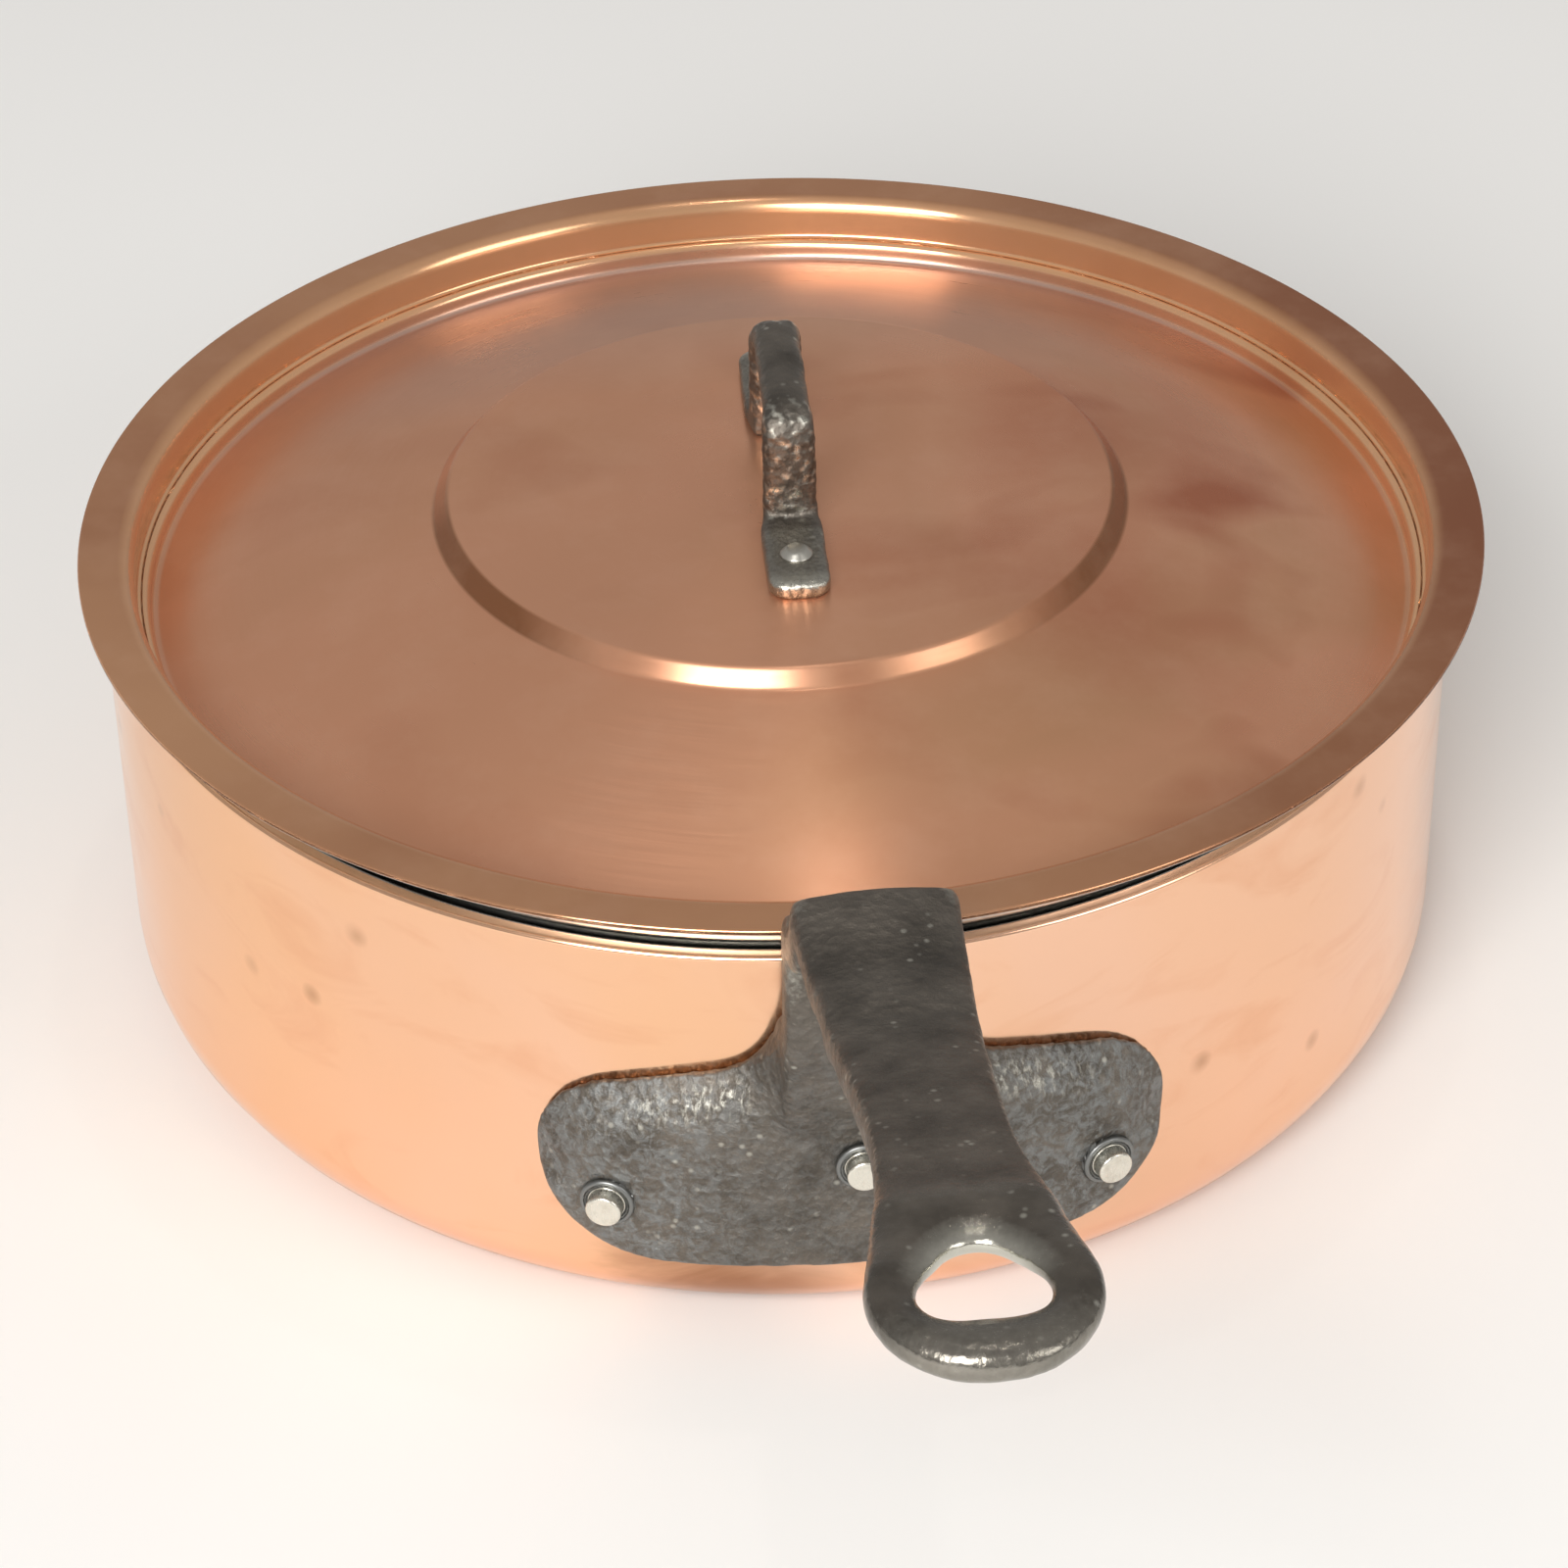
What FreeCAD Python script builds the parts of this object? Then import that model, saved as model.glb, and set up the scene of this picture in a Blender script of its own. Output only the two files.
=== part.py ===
import FreeCAD, Part
import math
import os
import re
import Sketcher

# A low, straight-sided copper pan with a cast-iron handle, and its pressed copper lid.
#
# Frame: millimetres, +Z up, origin at the centre of the underside of the base. The handle
# points along -Y. The pan wall, its lining, the handle and three rivets are one body. The lid,
# with its lining, iron bridge handle and two rivets, is the other, and lifts off along +Z.
# The lid is set down a little towards the handle and to the right: its flange rests on the rim
# at the back, and its step is caught on the rim by the handle, so the lid leans back by
# lid_tilt degrees.

DRIVING_SIZES = {
    # pan
    "pan_radius": 122.5,
    "rim_height": 83.0,
    "base_corner": 15.0,
    "rim_round": 0.9,
    "copper_wall": 2.5,
    "pan_lining": 0.3,
    # pan handle: wall plate
    "plate_thick": 6.0,
    "plate_low": 19.3,
    "plate_flat": 33.8,
    "plate_end": 53.8,
    "plate_corner_low": 20.0,
    "plate_corner_top": 17.0,
    "plate_slope": 14.0,
    "plate_web": 26.0,
    "web_top": 72.0,
    "web_round": 13.5,
    "neck_half": 13.6,
    # pan handle: neck and strap, as distances from the pan axis and heights above the base
    "neck_root": 123.5,
    "neck_foot": 49.3,
    "neck_bury": 0.5,
    "neck_taper": 13.0,
    "neck_back": 129.2,
    "neck_thick": 8.6,
    "neck_lift_off": 68.0,
    "neck_clear": 77.5,
    "bend_round": 13.0,
    "strap_thick": 5.6,
    "strap_level": 112.0,
    "strap_rise_start": 178.0,
    "strap_rise_end": 242.6,
    "strap_angle": 19.5,
    "strap_curve": 48.0,
    "bend_inside": 11.0,
    "strap_half_root": 12.6,
    "strap_root": 160.0,
    "strap_half_waist": 10.3,
    "waist_from": 210.0,
    "waist_to": 231.0,
    "ring_centre": 262.2,
    "ring_radius": 16.4,
    "ring_hole_round": 5.2,
    "ring_hole_half": 4.6,
    "ring_hole_base": 262.9,
    "ring_hole_apex": 256.0,
    # rivets of the pan handle
    "rivet_angle": 19.4,
    "side_rivet_height": 33.0,
    "middle_rivet_height": 42.6,
    "rivet_shank": 3.0,
    "rivet_stub": 3.1,
    "rivet_seat": 0.4,
    "rivet_proud": 3.2,
    "rivet_collar": 4.7,
    "collar_proud": 1.0,
    "rivet_inner": 7.0,
    "rivet_inner_thick": 2.0,
    # lid, measured from the underside of its flange
    "lid_sheet": 1.0,
    "lid_lining": 0.2,
    "flange_radius": 127.2,
    "lid_wall": 117.3,
    "lid_step": 7.0,
    "lid_plug": 115.0,
    "lid_floor": 11.0,
    "crest_bend": 2.8,
    "step_bend": 0.7,
    "plug_bend": 1.5,
    "floor_bend": 1.2,
    "dome_curve": 240.0,
    "disc_foot": 62.8,
    "disc_foot_height": 4.4,
    "disc_edge": 60.3,
    "disc_height": 7.4,
    "lid_tilt": 1.9,
    "lid_forward": 0.5,
    "lid_right": 0.8,
    "lid_rest_gap": 0.3,
    # lid handle
    "bridge_half_length": 41.25,
    "bridge_foot": 27.2,
    "bridge_foot_thick": 3.2,
    "bridge_height": 24.0,
    "bridge_thick": 4.6,
    "bridge_shoulder": 5.5,
    "bridge_inner_round": 2.9,
    "bridge_flare": 2.0,
    "bridge_half_width": 4.1,
    "bridge_foot_half": 5.4,
    "bridge_corner": 3.5,
    "bridge_right": 0.9,
    "bridge_back": 1.75,
    "bridge_turn": -2.0,
    "lid_rivet_place": 31.6,
    "lid_rivet_shank": 1.9,
    "lid_rivet_head": 2.9,
    "lid_rivet_crown": 1.6,
    "lid_rivet_proud": 1.8,
    "lid_rivet_inner": 4.5,
    "lid_rivet_inner_thick": 1.0,
    # how far a cutting or trimming tool runs past what it meets
    "tool_reach": 20.0,
}

document = FreeCAD.newDocument("CopperPan")
sheet = document.addObject("Spreadsheet::Sheet", "Sizes")
for row, (name, number) in enumerate(DRIVING_SIZES.items(), start=1):
    sheet.set("A%d" % row, name)
    sheet.set("B%d" % row, str(number))
    sheet.setAlias("B%d" % row, name)
document.recompute()


def in_sheet(formula):
    """Turn a formula of size names into one that other objects can use."""
    return re.sub(r"[a-z_]{4,}", lambda word: "Sizes." + word.group(0), formula)


def size(formula):
    """The number that a formula of size names gives now."""
    return float(sheet.evalExpression(formula))


def bind(item, **formulas):
    """Tie properties of an object to the sheet."""
    for property_name, formula in formulas.items():
        item.setExpression(property_name, in_sheet(formula))


# ---------------------------------------------------------------- outlines

def arc_between(start, end, radius, turn):
    """The shorter arc from start to end that turns left or right, and which of its ends is first."""
    chord = end - start
    half = chord.Length / 2
    reach = math.sqrt(max(radius ** 2 - half ** 2, 0.0))
    left = FreeCAD.Vector(-chord.y, chord.x, 0).normalize()
    centre = (start + end) * 0.5 + left * (reach if turn == "left" else -reach)
    circle = Part.Circle(centre, FreeCAD.Vector(0, 0, 1), radius)
    first, last = (start, end) if turn == "left" else (end, start)
    arc = Part.ArcOfCircle(circle, circle.parameter(first), circle.parameter(last))
    return arc, (1, 2) if turn == "left" else (2, 1)


def outline(body, name, plane_role, points):
    """A closed, fully sized sketch. A point is (x, y), reached by a straight line, or
    (x, y, radius, turn), reached by an arc. All are formulas of size names."""
    sketch = body.newObject("Sketcher::SketchObject", name)
    plane = next(item for item in body.Origin.OriginFeatures if item.Role == plane_role)
    sketch.AttachmentSupport = [(plane, "")]
    sketch.MapMode = "FlatFace"
    spots = [FreeCAD.Vector(size(point[0]), size(point[1]), 0) for point in points]
    ends = []
    for number, point in enumerate(points):
        start, end = spots[number - 1], spots[number]
        if len(point) == 2:
            sketch.addGeometry(Part.LineSegment(start, end))
            ends.append((1, 2))
        else:
            arc, order = arc_between(start, end, size(point[2]), point[3])
            sketch.addGeometry(arc)
            ends.append(order)
    for number in range(len(points)):
        following = (number + 1) % len(points)
        sketch.addConstraint(Sketcher.Constraint(
            "Coincident", number, ends[number][1], following, ends[following][0]))
    for number, point in enumerate(points):
        for direction, formula in (("DistanceX", point[0]), ("DistanceY", point[1])):
            place = sketch.addConstraint(Sketcher.Constraint(
                direction, -1, 1, number, ends[number][1], size(formula)))
            sketch.setExpression("Constraints[%d]" % place, in_sheet(formula))
        if len(point) > 2:
            place = sketch.addConstraint(Sketcher.Constraint("Radius", number, size(point[2])))
            sketch.setExpression("Constraints[%d]" % place, in_sheet(point[2]))
    return sketch


OTHER_TURN = {"left": "right", "right": "left"}


def backwards(path):
    """The same open path walked the other way."""
    walked = [path[-1][:2]]
    for number in range(len(path) - 1, 0, -1):
        arc = path[number][2:]
        point = path[number - 1][:2]
        walked.append(point + (arc[0], OTHER_TURN[arc[1]]) if arc else point)
    return walked


def mirror_turns(points):
    """The same points with left and right swapped, for an outline that is seen from behind."""
    return [point[:2] if len(point) == 2 else point[:3] + (OTHER_TURN[point[3]],) for point in points]


def new_body(name):
    return document.addObject("PartDesign::Body", name)


def turned(name, points):
    """A solid of revolution about Z from a half profile in X and Z."""
    body = new_body(name)
    profile = outline(body, name + "_profile", "XZ_Plane", points)
    spin = body.newObject("PartDesign::Revolution", name + "_spin")
    spin.Profile = profile
    spin.ReferenceAxis = (profile, ["V_Axis"])
    spin.Angle = 360.0
    profile.Visibility = False
    return body


def slab(name, plane_role, points, length, middle=False, flip=False):
    """A straight extrusion of an outline, from its plane or with the plane in its middle."""
    body = new_body(name)
    profile = outline(body, name + "_profile", plane_role, points)
    pad = body.newObject("PartDesign::Pad", name + "_pad")
    pad.Profile = profile
    bind(pad, Length=length)
    pad.Midplane = middle
    pad.Reversed = flip
    return body


def joined(name, pieces):
    fuse = document.addObject("Part::MultiFuse", name)
    fuse.Shapes = pieces
    return fuse


def common(name, first, second):
    both = document.addObject("Part::Common", name)
    both.Base = first
    both.Tool = second
    return both


def cut(name, base, tool):
    difference = document.addObject("Part::Cut", name)
    difference.Base = base
    difference.Tool = tool
    return difference


# ---------------------------------------------------------------- pan wall and lining

def pan_surface(inset):
    """Half profile of the pan, from the axis up to the rim, at a depth inside its outer skin."""
    return [
        ("0", inset),
        ("pan_radius - base_corner", inset),
        ("pan_radius - (%s)" % inset, "base_corner", "base_corner - (%s)" % inset, "left"),
    ]


def make_pan_blanks():
    """The copper wall and its lining, before the rivet holes."""
    outside = pan_surface("0") + [
        ("pan_radius", "rim_height - rim_round"),
        ("pan_radius - rim_round", "rim_height", "rim_round", "left"),
    ]
    interface = pan_surface("copper_wall") + [("pan_radius - copper_wall", "rim_height")]
    inside = pan_surface("copper_wall + pan_lining") + [
        ("pan_radius - copper_wall - pan_lining", "rim_height")]
    wall = turned("wall_blank", outside + backwards(interface))
    lining = turned("lining_blank", interface + backwards(inside))
    return wall, lining


# ---------------------------------------------------------------- rivets of the pan handle

RIVETS = {
    "left": ("-rivet_angle", "side_rivet_height"),
    "middle": ("0", "middle_rivet_height"),
    "right": ("rivet_angle", "side_rivet_height"),
}


def rod(name, radius, inner_end, outer_end, angle, height):
    """A round bar that lies along a radius of the pan, between two distances from its axis."""
    bar = document.addObject("Part::Cylinder", name)
    bind(bar, Radius=radius, Height="(%s) - (%s)" % (outer_end, inner_end))
    degrees = size(angle)
    heading = FreeCAD.Vector(math.sin(math.radians(degrees)), -math.cos(math.radians(degrees)), 0)
    facing = FreeCAD.Rotation(FreeCAD.Vector(0, 0, 1), heading)
    bar.Placement = FreeCAD.Placement(heading * size(inner_end), facing)
    bar.setExpression("Placement.Base.x", in_sheet("(%s) * sin((%s) * 1 deg)" % (inner_end, angle)))
    bar.setExpression("Placement.Base.y", in_sheet("-(%s) * cos((%s) * 1 deg)" % (inner_end, angle)))
    bar.setExpression("Placement.Base.z", in_sheet(height))
    return bar


INSIDE = "pan_radius - copper_wall - pan_lining"
PLATE_FACE = "pan_radius + plate_thick"


def make_rivet(side):
    """A rivet with a flat stub and a low collar outside, and a flattened head inside the pan."""
    angle, height = RIVETS[side]
    seat = PLATE_FACE + " - rivet_seat"
    shank = rod("shank_" + side, "rivet_shank", INSIDE + " - rivet_inner_thick / 2",
                PLATE_FACE + " + rivet_proud / 2", angle, height)
    stub = rod("stub_" + side, "rivet_stub", seat, PLATE_FACE + " + rivet_proud", angle, height)
    collar = rod("collar_" + side, "rivet_collar", seat, PLATE_FACE + " + collar_proud",
                 angle, height)
    outside_head = joined("outside_head_" + side, [stub, collar])
    before_plate = ring_wall("before_plate_" + side, PLATE_FACE, PLATE_FACE + " + tool_reach")
    outside_trimmed = common("outside_trimmed_" + side, outside_head, before_plate)
    button = rod("button_" + side, "rivet_inner", INSIDE + " - rivet_inner_thick",
                 INSIDE + " + pan_lining", angle, height)
    cavity = ring_wall("cavity_" + side, "0", INSIDE)
    button_trimmed = common("button_trimmed_" + side, button, cavity)
    return joined("handle_rivet_" + side, [shank, outside_trimmed, button_trimmed])


def ring_wall(name, inner, outer):
    """A tall ring, or a full cylinder where the inner radius is zero, about the pan's axis."""
    tall = document.addObject("Part::Cylinder", name)
    bind(tall, Radius=outer, Height="rim_height")
    if inner == "0":
        return tall
    core = document.addObject("Part::Cylinder", name + "_core")
    bind(core, Radius=inner, Height="rim_height")
    return cut(name + "_ring", tall, core)


def rivet_holes(name):
    """Three bars that cut the rivet holes."""
    bars = [rod("%s_%s" % (name, side), "rivet_shank", INSIDE + " - tool_reach",
                PLATE_FACE + " + tool_reach", angle, height)
            for side, (angle, height) in RIVETS.items()]
    return joined(name, bars)


# ---------------------------------------------------------------- pan handle

ABOVE_ALL = "2 * rim_height"


def make_wall_plate():
    """The winged plate that hugs the wall, cut from a ring by its outline seen from the front."""
    slope = "plate_slope * 1 deg"
    top_x = "plate_end - plate_corner_top + plate_corner_top * sin(%s)" % slope
    top_y = "plate_low + plate_corner_low + plate_corner_top * cos(%s)" % slope
    web_y = "(%s) + ((%s) - plate_web) * tan(%s)" % (top_y, top_x, slope)
    right_side = [
        ("plate_flat", "plate_low"),
        ("plate_end", "plate_low + plate_corner_low", "plate_corner_low", "left"),
        (top_x, top_y, "plate_corner_top", "left"),
        ("plate_web", web_y),
        ("neck_half", "web_top", "web_round", "right"),
    ]
    left_side = mirror_turns([("-(%s)" % point[0],) + point[1:] for point in backwards(right_side)])
    blank = slab("plate_blank", "XZ_Plane", right_side + left_side, PLATE_FACE + " + tool_reach")
    shell = ring_wall("plate_shell", "pan_radius", PLATE_FACE)
    return common("wall_plate", blank, shell)


def make_strap():
    """The neck, bend, strap and ring, where the side view and the top view meet."""
    rise = "strap_angle * 1 deg"
    rise_height = "(strap_rise_end - strap_rise_start) * tan(%s)" % rise
    curve_drop = "strap_curve * (1 - cos(%s))" % rise
    low = "strap_level + (%s)" % curve_drop
    high = "(%s) + (%s)" % (low, rise_height)
    ring_level = "(%s) + (%s)" % (high, curve_drop)
    ring_start = "strap_rise_end + strap_curve * sin(%s)" % rise
    tip = "ring_centre + ring_radius"
    top = [
        ("-neck_root", "neck_foot"),
        ("-neck_root", "neck_lift_off"),
        ("-neck_back", "neck_clear"),
        ("-neck_back", "strap_level - bend_round"),
        ("-neck_back - bend_round", "strap_level", "bend_round", "left"),
        ("-(strap_rise_start - strap_curve * sin(%s))" % rise, "strap_level"),
        ("-strap_rise_start", low, "strap_curve", "right"),
        ("-strap_rise_end", high),
        ("-(%s)" % ring_start, ring_level, "strap_curve", "left"),
        ("-(%s)" % tip, ring_level),
    ]
    thick = "strap_thick"
    front = "neck_back + neck_thick"
    below = [
        ("-(%s)" % tip, "(%s) - %s" % (ring_level, thick)),
        ("-(%s)" % ring_start, "(%s) - %s" % (ring_level, thick)),
        ("-strap_rise_end", "(%s) - %s" % (high, thick), "strap_curve", "right"),
        ("-strap_rise_start", "(%s) - %s" % (low, thick)),
        ("-(strap_rise_start - strap_curve * sin(%s))" % rise, "strap_level - " + thick,
         "strap_curve", "left"),
        ("-(%s) - bend_inside" % front, "strap_level - " + thick),
        ("-(%s)" % front, "strap_level - %s - bend_inside" % thick, "bend_inside", "right"),
        ("-(%s)" % front, "neck_clear"),
        ("-(%s - neck_bury)" % PLATE_FACE, "neck_foot"),
    ]
    # the arcs of a left or right turn swap in this mirrored view of the outline
    side_view = slab("strap_side", "YZ_Plane", mirror_turns(top + below),
                     "2 * (neck_half + tool_reach)", middle=True)
    half = [
        ("neck_half", "-neck_root + tool_reach"),
        ("neck_half", "-neck_back - neck_taper"),
        ("strap_half_root", "-strap_root"),
        ("strap_half_waist", "-waist_from"),
        ("strap_half_waist", "-waist_to"),
        ("ring_radius", "-ring_centre"),
    ]
    other_half = [("-(%s)" % x, y) for x, y in reversed(half)]
    round_end = [("0", "-(%s)" % tip, "ring_radius", "right"),
                 other_half[0] + ("ring_radius", "right")]
    top_view = slab("strap_plan", "XY_Plane", half + round_end + other_half[1:], ABOVE_ALL)
    return common("strap", side_view, top_view)


def make_handle_blank():
    """The casting in one piece, with the three-cornered hole of its hanging ring."""
    casting = joined("casting", [make_wall_plate(), make_strap()])
    side_length = "pow(pow(ring_hole_half; 2) + pow(ring_hole_base - ring_hole_apex; 2); 0.5)"
    out_x = "ring_hole_round * (ring_hole_base - ring_hole_apex) / %s" % side_length
    out_y = "ring_hole_round * ring_hole_half / %s" % side_length
    hole = slab("ring_hole", "XY_Plane", [
        ("ring_hole_half", "-ring_hole_base - ring_hole_round"),
        ("ring_hole_half + %s" % out_x, "-ring_hole_base + %s" % out_y, "ring_hole_round", "left"),
        (out_x, "-ring_hole_apex + %s" % out_y),
        ("-(%s)" % out_x, "-ring_hole_apex + %s" % out_y, "ring_hole_round", "left"),
        ("-ring_hole_half - %s" % out_x, "-ring_hole_base + %s" % out_y),
        ("-ring_hole_half", "-ring_hole_base - ring_hole_round", "ring_hole_round", "left"),
    ], ABOVE_ALL)
    return cut("handle_blank", casting, hole)


# ---------------------------------------------------------------- lid

def lid_surface(depth):
    """Profile of the lid from its flange edge in to the axis, at a depth below its upper skin."""
    upper = "lid_sheet + lid_lining"
    return [
        ("flange_radius", "%s - (%s)" % (upper, depth)),
        ("lid_wall + crest_bend", "%s - (%s)" % (upper, depth)),
        ("lid_wall + (%s)" % depth, "%s - crest_bend" % upper, "crest_bend - (%s)" % depth, "left"),
        ("lid_wall + (%s)" % depth, "-lid_step + step_bend"),
        ("lid_wall - step_bend", "-lid_step - (%s)" % depth, "step_bend + (%s)" % depth, "right"),
        ("lid_plug + plug_bend", "-lid_step - (%s)" % depth),
        ("lid_plug + (%s)" % depth, "-lid_step - plug_bend", "plug_bend - (%s)" % depth, "left"),
        ("lid_plug + (%s)" % depth, "-lid_floor + floor_bend"),
        ("lid_plug - floor_bend", "-lid_floor - (%s)" % depth, "floor_bend + (%s)" % depth, "right"),
        ("disc_foot", "disc_foot_height - (%s)" % depth, "dome_curve", "left"),
        ("disc_edge", "disc_height - (%s)" % depth),
        ("0", "disc_height - (%s)" % depth),
    ]


def make_lid_blanks():
    """The pressed copper sheet and the lining on its underside, before the rivet holes."""
    upper = lid_surface("0")
    middle = lid_surface("lid_sheet")
    lower = lid_surface("lid_sheet + lid_lining")
    plate = turned("lid_blank", upper + backwards(middle))
    lining = turned("lid_lining_blank", middle + backwards(lower))
    return plate, lining


def make_bridge_blank():
    """The iron bridge handle of the lid: flat feet, upright legs and a level grip."""
    foot_end = "bridge_half_length"
    foot_start = "bridge_half_length - bridge_foot"
    base = "disc_height"
    foot_top = "disc_height + bridge_foot_thick"
    crown = "disc_height + bridge_height"
    soffit = "disc_height + bridge_height - bridge_thick"
    inner_round = "bridge_inner_round"
    right = [
        (foot_end, base),
        (foot_end, foot_top),
        ("%s + bridge_thick" % foot_start, foot_top),
        ("%s + bridge_thick" % foot_start, "%s - bridge_shoulder" % crown),
        ("%s + bridge_thick - bridge_shoulder" % foot_start, crown, "bridge_shoulder", "left"),
    ]
    left = [
        ("-(%s + bridge_thick - bridge_shoulder)" % foot_start, crown),
        ("-(%s + bridge_thick)" % foot_start, "%s - bridge_shoulder" % crown, "bridge_shoulder", "left"),
        ("-(%s + bridge_thick)" % foot_start, foot_top),
        ("-(%s)" % foot_end, foot_top),
        ("-(%s)" % foot_end, base),
    ]
    arch = [
        ("-(%s)" % foot_start, base),
        ("-(%s)" % foot_start, "%s - (%s)" % (soffit, inner_round)),
        ("-(%s - (%s))" % (foot_start, inner_round), soffit, inner_round, "right"),
        ("%s - (%s)" % (foot_start, inner_round), soffit),
        (foot_start, "%s - (%s)" % (soffit, inner_round), inner_round, "right"),
        (foot_start, base),
    ]
    side_view = slab("bridge_side", "YZ_Plane", right + left + arch, "2 * bridge_foot_half",
                     middle=True)
    grip = "bridge_half_width"
    foot = "bridge_foot_half"
    quarter = [
        (grip, foot_start),
        (foot, "%s + bridge_thick + bridge_flare" % foot_start),
        (foot, "%s - bridge_corner" % foot_end),
        ("%s - bridge_corner" % foot, foot_end, "bridge_corner", "left"),
    ]
    three_more = [
        ("-(%s - bridge_corner)" % foot, foot_end),
        ("-%s" % foot, "%s - bridge_corner" % foot_end, "bridge_corner", "left"),
        ("-%s" % foot, "%s + bridge_thick + bridge_flare" % foot_start),
        ("-%s" % grip, foot_start),
        ("-%s" % grip, "-(%s)" % foot_start),
        ("-%s" % foot, "-(%s + bridge_thick + bridge_flare)" % foot_start),
        ("-%s" % foot, "-(%s - bridge_corner)" % foot_end),
        ("-(%s - bridge_corner)" % foot, "-(%s)" % foot_end, "bridge_corner", "left"),
        ("%s - bridge_corner" % foot, "-(%s)" % foot_end),
        (foot, "-(%s - bridge_corner)" % foot_end, "bridge_corner", "left"),
        (foot, "-(%s + bridge_thick + bridge_flare)" % foot_start),
        (grip, "-(%s)" % foot_start),
    ]
    top_view = slab("bridge_plan", "XY_Plane", quarter + three_more,
                    "disc_height + bridge_height + tool_reach")
    return common("bridge_blank", side_view, top_view)


def upright(name, radius, low, high, place):
    """A bar along the lid's axis direction, at a distance along the bridge handle."""
    bar = document.addObject("Part::Cylinder", name)
    bind(bar, Radius=radius, Height="(%s) - (%s)" % (high, low))
    bar.setExpression("Placement.Base.y", in_sheet(place))
    bar.setExpression("Placement.Base.z", in_sheet(low))
    return bar


LID_RIVETS = {"front": "-lid_rivet_place", "back": "lid_rivet_place"}
LID_UNDERSIDE = "disc_height - lid_sheet - lid_lining"
FOOT_TOP = "disc_height + bridge_foot_thick"


def make_lid_rivet(end):
    """A small rivet with a domed head on the foot and a flat one under the lid."""
    place = LID_RIVETS[end]
    shank = upright("lid_shank_" + end, "lid_rivet_shank", LID_UNDERSIDE + " - lid_rivet_inner_thick / 2",
                    FOOT_TOP + " + lid_rivet_proud / 2", place)
    inner = upright("lid_button_" + end, "lid_rivet_inner",
                    LID_UNDERSIDE + " - lid_rivet_inner_thick", LID_UNDERSIDE, place)
    head = document.addObject("Part::Cone", "lid_dome_" + end)
    bind(head, Radius1="lid_rivet_head", Radius2="lid_rivet_crown", Height="lid_rivet_proud")
    head.setExpression("Placement.Base.y", in_sheet(place))
    head.setExpression("Placement.Base.z", in_sheet(FOOT_TOP))
    return joined("lid_rivet_" + end, [shank, inner, head])


def lid_rivet_holes(name):
    bars = [upright("%s_%s" % (name, end), "lid_rivet_shank", LID_UNDERSIDE + " - tool_reach",
                    FOOT_TOP + " + tool_reach", place) for end, place in LID_RIVETS.items()]
    return joined(name, bars)


def lid_placement():
    """Where the lid rests: flange on the rim at the back, step on the rim at the front."""
    lean = math.radians(size("lid_tilt"))
    back = size("pan_radius - rim_round + lid_forward")
    height = size("rim_height + lid_rest_gap") + back * math.tan(lean)
    facing = FreeCAD.Rotation(FreeCAD.Vector(1, 0, 0), -size("lid_tilt"))
    place = FreeCAD.Vector(size("lid_right"), -size("lid_forward"), height)
    return FreeCAD.Placement(place, facing)


# ---------------------------------------------------------------- the assembly

def finish(item, label, placement=None):
    """Give a sub-part its name and place."""
    if placement is not None:
        item.Placement = placement
    item.Label = label
    return item


wall_blank, pan_lining_blank = make_pan_blanks()
lid_blank, lid_lining_blank = make_lid_blanks()
lid_place = lid_placement()
bridge_seat = FreeCAD.Placement(
    FreeCAD.Vector(size("bridge_right"), size("bridge_back"), 0),
    FreeCAD.Rotation(FreeCAD.Vector(0, 0, 1), size("bridge_turn")))

sub_parts = [
    finish(cut("wall_cut", wall_blank, rivet_holes("wall_holes")), "pan_body"),
    finish(cut("lining_cut", pan_lining_blank, rivet_holes("lining_holes")), "pan_lining"),
    finish(cut("handle_cut", make_handle_blank(), rivet_holes("handle_holes")), "pan_handle"),
]
for side in RIVETS:
    sub_parts.append(finish(make_rivet(side), "handle_rivet_" + side))

lid_holes = {name: lid_rivet_holes(name) for name in ("lid_holes", "lid_lining_holes", "bridge_holes")}
for name in ("lid_holes", "lid_lining_holes"):
    lid_holes[name].Placement = bridge_seat
sub_parts.append(finish(cut("lid_cut", lid_blank, lid_holes["lid_holes"]), "lid_body", lid_place))
sub_parts.append(finish(cut("lid_lining_cut", lid_lining_blank, lid_holes["lid_lining_holes"]),
                        "lid_lining", lid_place))
bridge_place = lid_place.multiply(bridge_seat)
sub_parts.append(finish(cut("bridge_cut", make_bridge_blank(), lid_holes["bridge_holes"]),
                        "lid_handle", bridge_place))
for end in LID_RIVETS:
    sub_parts.append(finish(make_lid_rivet(end), "lid_rivet_" + end, bridge_place))

document.recompute()

for item in document.Objects:
    if "Invalid" in item.State or "Error" in item.State:
        raise RuntimeError("%s failed: %s" % (item.Name, item.State))
for item in sub_parts:
    if item.Shape.isNull() or not item.Shape.isValid():
        raise RuntimeError("%s has no valid shape" % item.Label)

os.makedirs("parts", exist_ok=True)
for item in sub_parts:
    item.Shape.exportStep(os.path.join("parts", item.Label + ".step"))
    box = item.Shape.BoundBox
    print("%-22s solids %d  volume %9.1f  y %7.1f %7.1f  z %7.1f %7.1f" % (
        item.Label, len(item.Shape.Solids), item.Shape.Volume, box.YMin, box.YMax, box.ZMin, box.ZMax))
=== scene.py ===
import math

import bmesh
import bpy
import numpy as np
from mathutils import Matrix, Vector, noise


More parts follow.
